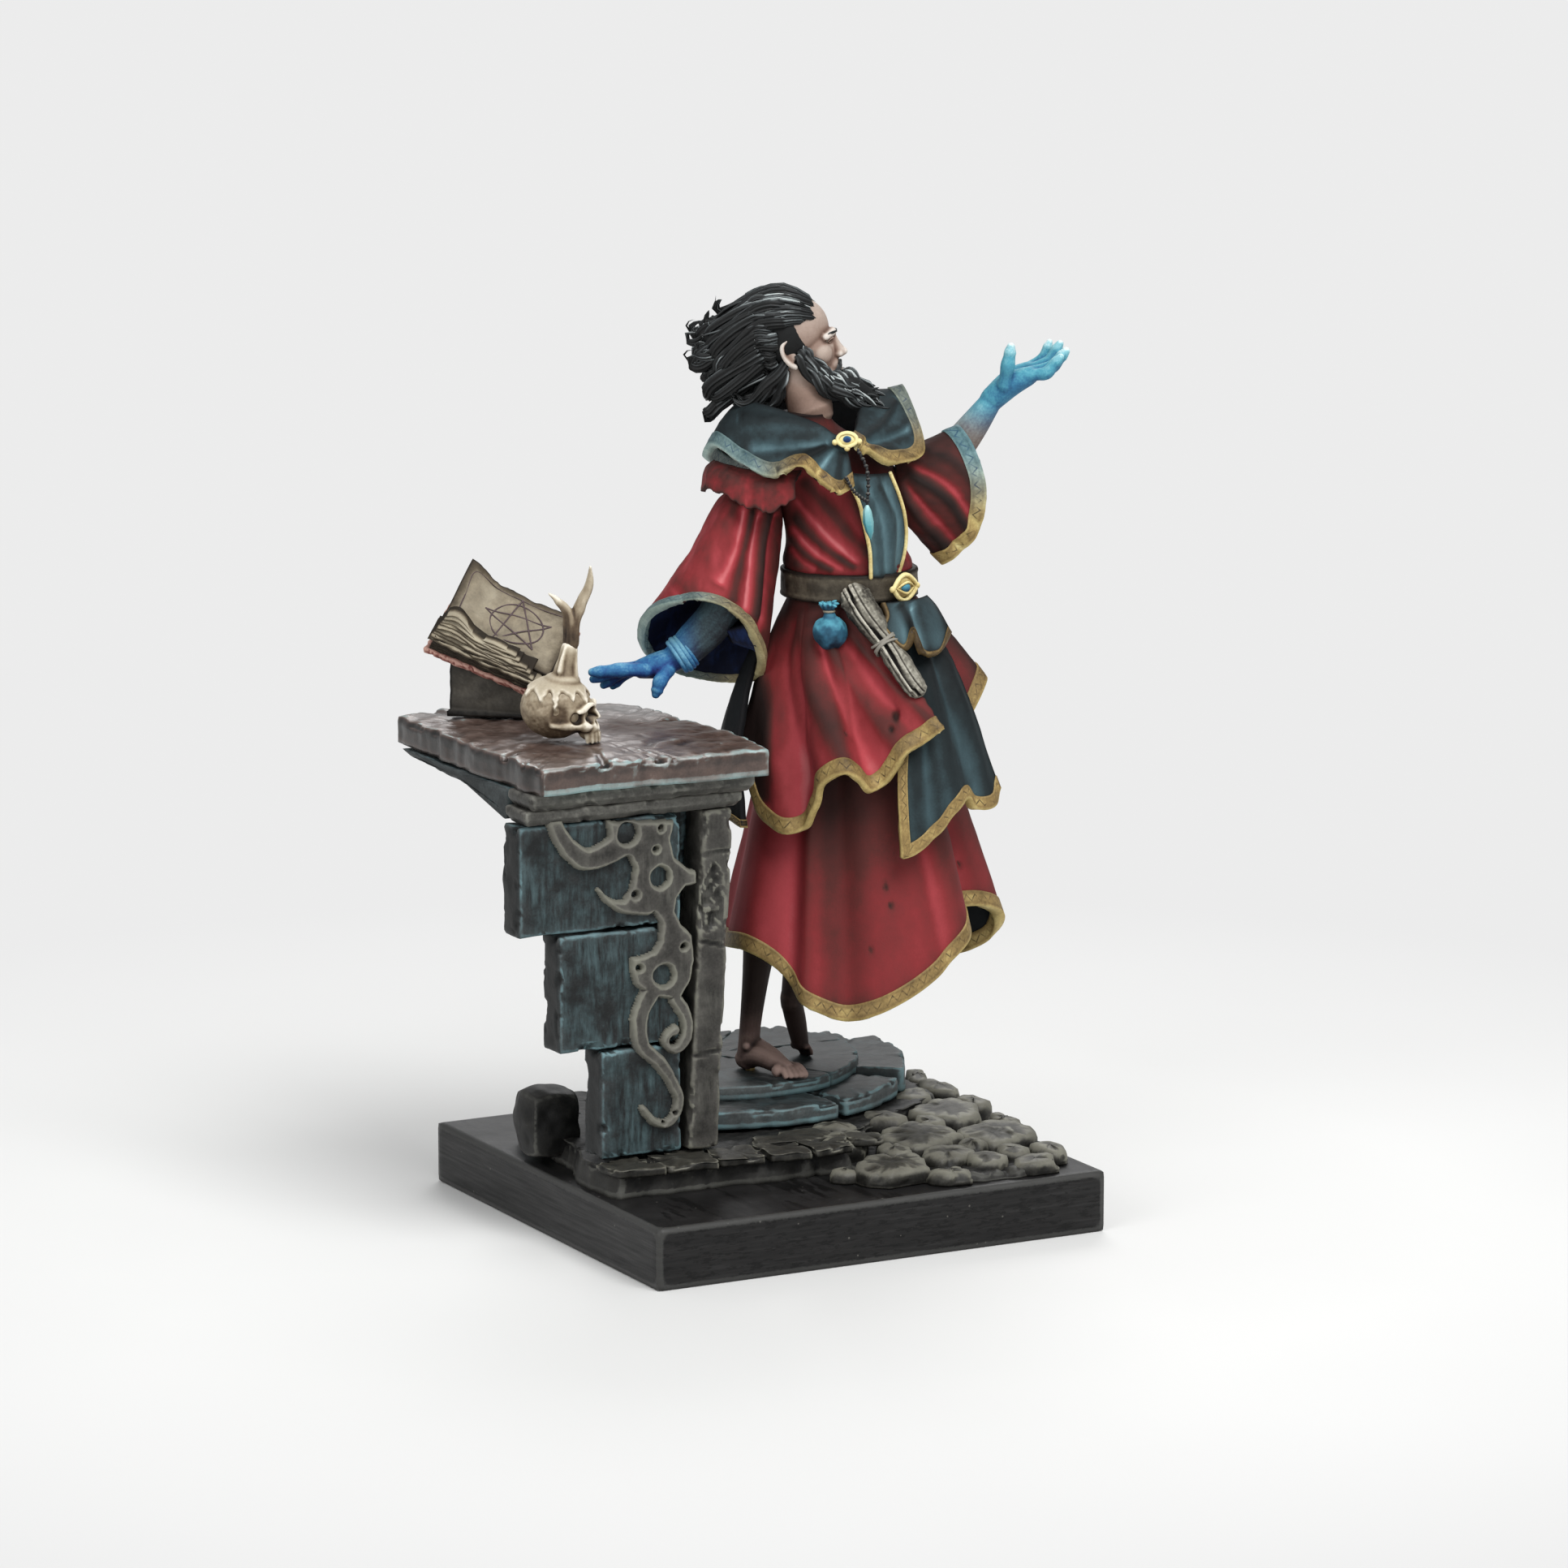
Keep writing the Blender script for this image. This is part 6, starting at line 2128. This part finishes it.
# %% [markdown]
# ## Hair and beard
# Hair is blown back in thick, wavy clumps. Each clump is a tapering rod round a guide curve that follows the
# scalp and then streams to the left. Its section has a ridge for each strand, and each ridge its own tone.
# The beard is made in the same way, from the jaw forward and down.

# %% Hair
hair_random = np.random.default_rng(4)
SCALP, SCALP_R = np.array((-4.7, 0.0, 75.5)), np.array((4.35, 3.6, 4.1))


def lock(path, thick, strands, wave, steps=22):
    """A tapering clump of hair with a ridge for each strand, and a tone for each of its points."""
    t, phase = np.linspace(0, 1, steps), hair_random.uniform(0, 6.3)
    guide = spline(path, steps)
    along = unit(np.gradient(guide, axis=0))
    side = unit(np.cross(along, (0.1, 0.9, 0.4)))
    rise = np.cross(along, side)
    swing = wave * (0.15 + t)
    sway = side * (swing * np.sin(8 * t + phase))[:, None]
    guide = guide + sway + rise * (0.7 * swing * np.sin(6 * t + 2 * phase))[:, None]
    turns = np.linspace(0, 2 * np.pi, 4 * strands, endpoint=False)
    angle = strands * turns + 2.5 * np.sin(3 * t + phase)[:, None]
    size = thick * np.interp(t, [0, 0.03, 0.3, 0.75, 0.97, 1], [0, 0.7, 1, 0.75, 0.12, 0])
    ring = np.cos(turns)[:, None] * side[:, None] + 0.7 * np.sin(turns)[:, None] * rise[:, None]
    rings = guide[:, None] + ring * (size[:, None] * (1 + 0.24 * np.cos(angle)))[..., None]
    strand = np.floor(angle / (2 * np.pi) + 0.5).astype(int) % strands
    bright = 0.12 + 0.95 * hair_random.uniform(0, 1, strands)[strand] ** 2
    tone = (0.5 + 0.5 * np.cos(angle)) * bright * (0.65 + 0.35 * np.sin(7 * t + phase)[:, None])
    return (rings.reshape(-1, 3), grid_faces(steps, 4 * strands, True)), tone.ravel()


def scalp_point(x, roll, lift):
    """A point over the scalp at a place x from front to back and a roll about the head's long axis."""
    across = math.sqrt(max(0.02, 1 - ((x - SCALP[0]) / SCALP_R[0]) ** 2))
    return np.array((x, (SCALP_R[1] * across + lift) * math.sin(roll),
                     SCALP[2] + (SCALP_R[2] * across + lift) * math.cos(roll)))


hair = []
for row, (start, widest, apart) in enumerate(((-1.35, 66, 12), (-2.4, 84, 14), (-4.2, 98, 14),
                                              (-6.0, 126, 14), (-7.4, 140, 18))):
    for degree in np.arange(-widest, widest + 1, apart):
        roll = math.radians(degree + hair_random.uniform(-4, 4))
        first = start if abs(degree) < 80 else min(start, -5.5)
        far = hair_random.uniform(-13.2, -9.8) - 0.1 * row
        drop = 0.9 + 0.022 * abs(degree) + hair_random.uniform(-0.6, 0.7)
        tip_up = hair_random.uniform(-0.6, 0.8)
        out = hair_random.uniform(0.72, 1.1)

        def behind(x, share, sink, y=0.0):
            return (x, share * out * math.sin(roll) + y, SCALP[2] + share * out * math.cos(roll) - sink)

        path = [scalp_point(first, roll, -0.15), scalp_point((first - 7.2) / 2, roll, 0.3 + 0.1 * row),
                scalp_point(-7.4, roll, 0.7), behind(-9.4, 3.4, 0.35 * drop),
                behind(0.5 * far - 5.6, 3.0, 0.8 * drop), behind(far, 2.7, drop - tip_up),
                behind(far - 0.5, 2.5, drop - 2.0 * tip_up, 0.3), behind(far + 0.2, 2.4, drop - 2.9 * tip_up)]
        hair.append(lock(path, hair_random.uniform(0.5, 0.85), 9, 0.55))
        if hair_random.uniform() < 0.6:
            hair.append(lock(np.array(path) + hair_random.uniform(-0.4, 0.4, 3), 0.2, 2, 0.9))
for k in range(16):
    y, low = 0.36 * k - 2.7, hair_random.uniform(-0.7, 0.6)
    hair.append(lock([(-5.0, y, 73.2), (-6.3, 1.1 * y, 71.6), (-7.8, 1.15 * y, 70.2 + 0.5 * low),
                      (-9.5, y, 69.5 + low), (-10.9, 0.9 * y, 70.0 + low)], 0.6, 7, 0.5))
    hair.append(lock([(-5.2, 0.8 * y, 72.4), (-5.9, 0.8 * y, 70.9), (-6.5, 0.8 * y, 69.5 + 0.5 * low),
                      (-7.8, 0.8 * y, 68.6 + low)], 0.6, 5, 0.3, 14))
cap = ball(SCALP + (-0.5, 0, 0.15), SCALP_R * (0.96, 0.98, 0.97), 4)
front_limit = -1.5 - 0.55 * (76.5 - cap[0][:, 2])
cap[0][:, 0] = np.minimum(cap[0][:, 0], np.where(cap[0][:, 2] > 76.0, -1.4, np.maximum(front_limit, -4.9)))
hair.append((cap, np.full(len(cap[0]), -0.1)))


def hair_piece(name, locks, node):
    made = placed(name, gather([part for part, tone in locks]), HEAD)
    mask_layer(made, "tone", np.concatenate([tone for part, tone in locks]))
    dress(made, HAIR, [node], near=0.2, wide=1.0)
    print(name, "with", len(locks), "clumps")


hair_piece("hair_locks", hair, "hair")

# %% Beard
beard = []
for s in (-1, 1):
    roots = spline([(-3.9, s * 2.75, 73.6), (-3.2, s * 2.55, 72.2), (-2.4, s * 2.3, 71.0),
                    (-1.2, s * 1.8, 70.3), (-0.3, s * 1.0, 70.2), (0.1, s * 0.25, 70.4)], 13)
    for k, root in enumerate(roots):
        t = k / 12
        for layer in range(3):
            start = root + (0.3 * layer, -0.15 * s * layer, 0.42 * layer * (1 - 0.2 * t))
            end = hair_random.uniform(-0.4, 0.4, 3) + (-1.6 + 5.9 * t ** 0.8 - 0.35 * layer,
                                                       s * (2.3 - 1.9 * t), 68.9 - 2.7 * t + 0.9 * layer)
            belly = (start + end) / 2 + (0.15, s * 0.45 * (1 - t), -0.25 - 0.35 * t)
            path = [start, start * 0.7 + belly * 0.3 + (0, 0.15 * s, 0), belly, end]
            part, tone = lock(path, 0.48, 5, 0.4, 18)
            beard.append((part, tone + 0.08))
    for k in range(6):
        t = k / 5
        y, z = s * (0.15 + 0.35 * t), NOSE_FOOT - 0.3 - 0.08 * t
        start = np.array((face_x(y, z) + 0.02, y, z))
        end = np.array((-0.7 - 0.35 * t, s * (1.6 + 0.3 * t), NOSE_FOOT - 1.7 - 0.25 * k))
        beard.append(lock([start, (start + end) / 2 + (0.4, 0.15 * s, 0.15), end], 0.2, 4, 0.1, 12))
    for k in range(6):
        y = 0.45 + 0.22 * k
        brow = [(face_x(s * at, BROW + lift) + 0.02, s * at, BROW + lift)
                for at, lift in ((y, 0.0), (y + 0.3, 0.14), (y + 0.6, 0.1))]
        beard.append(lock(brow, 0.11, 3, 0.02, 8))
    beard.append((tube([(-2.6, s * 2.0, 71.0), (-0.9, s * 1.5, 70.0), (0.9, s * 0.7, 69.4),
                        (3.3, s * 0.4, 67.8)], (0.7, 1.0, 1.1, 0.3), 12, 18), np.full(12 * 24, -0.1)))
hair_piece("beard_locks", beard, "beard")

# %% [markdown]
# ## Legs
# Only a bare foot and shin show under the hem. The foot is melted from rods: heel, arch, ankle bones and five
# toes. The other leg stands on its toes a little behind.

# %% Legs
def toes(ball_at, toe_way, inner, size):
    """Toes in a fan at the ball of the foot; inner points to the big toe's side."""
    made = []
    for k in range(5):
        across = 0.95 - 0.47 * k
        root = ball_at + inner * across * size
        length = (1.75, 1.7, 1.5, 1.3, 1.05)[k] * size
        fat = (0.56, 0.42, 0.4, 0.37, 0.34)[k] * size
        tip = root + toe_way * length + inner * 0.1 * across
        made.append(tube([root, root + toe_way * 0.55 * length + (0, 0, 0.2), tip - (0, 0, 0.35)],
                         [fat * 1.05, fat, fat * 0.85], 10, 12))
    return made


toe_way = unit(np.array((0.74, -0.67, 0.0)))
inner = np.array((0.67, 0.74, 0.0))
parts = [tube([(-8.8, -0.6, 1.1), (-8.6, -0.9, 4.6), (-8.0, -1.0, 10.0), (-7.4, -1.0, 15.0),
               (-7.0, -1.0, 20.5)], [1.2, 1.1, 1.4, 1.9, 2.0], 18, 30),
         tube([(-9.1, -0.4, 1.1), (-7.6, -1.9, 1.7), (-6.0, -3.4, 1.3), (-5.0, -4.3, 0.95)],
              [1.1, 1.15, 1.0, 0.85], 16, 20),
         tube([(-8.3, -0.4, 2.6), (-6.6, -2.4, 1.9), (-5.2, -3.4, 1.0)], [0.9, 0.95, 0.8], 14, 16),
         ball((-8.9, -1.75, 2.6), (0.45, 0.42, 0.45), 3), ball((-7.6, -0.1, 2.7), (0.42, 0.45, 0.45), 3)]
parts += toes(np.array((-5.1, -4.1, 0.72)), toe_way, inner, 1.0)
parts += [tube([(-5.2, -4.2, 0.8) + inner * 0.95, (-5.2, -4.2, 0.8) - inner * 0.95], [0.75, 0.65], 12, 10)]
leg = melted("right_leg_skin", parts, 0.13, smooth=3)
points = co_of(leg)
mask_layer(leg, "shade", 0.44 * smooth_step(points[:, 2], 2.4, 8.0) - 0.2)
dress(settle(leg, FIGURE), LEG_SKIN, ["right_leg"], near=0.3, wide=1.0)
parts = [tube([(-4.4, 3.6, 5.9), (-4.1, 3.4, 9.5), (-3.6, 3.0, 14.0), (-3.0, 2.6, 20.5)],
              [1.15, 1.2, 1.7, 1.9], 16, 26),
         tube([(-4.5, 3.5, 6.6), (-4.0, 4.2, 4.2), (-3.5, 4.7, 1.6)], [1.1, 1.1, 0.9], 16, 18)]
parts += toes(np.array((-3.5, 4.7, 1.2)), unit(np.array((0.6, 0.55, -0.45))),
              unit(np.array((-0.67, 0.74, 0.0))), 0.85)
leg = melted("left_leg_skin", parts, 0.16, smooth=3)
points = co_of(leg)
points[:, 2] = np.maximum(points[:, 2], 0.02)
set_co(leg, points)
mask_layer(leg, "shade", np.full(len(points), 0.2))
dress(settle(leg, FIGURE), LEG_SKIN, ["left_leg"], near=0.3, wide=1.0)
print("legs made")

# %% [markdown]
# ## Finish
# The box of the dressed model is written beside the box of the plain one, to see that nothing grew.

# %% Sizes and hand-over
bpy.context.view_layer.update()
print("pieces:", len(dressed), "faces:", sum(len(made.data.polygons) for made in dressed))
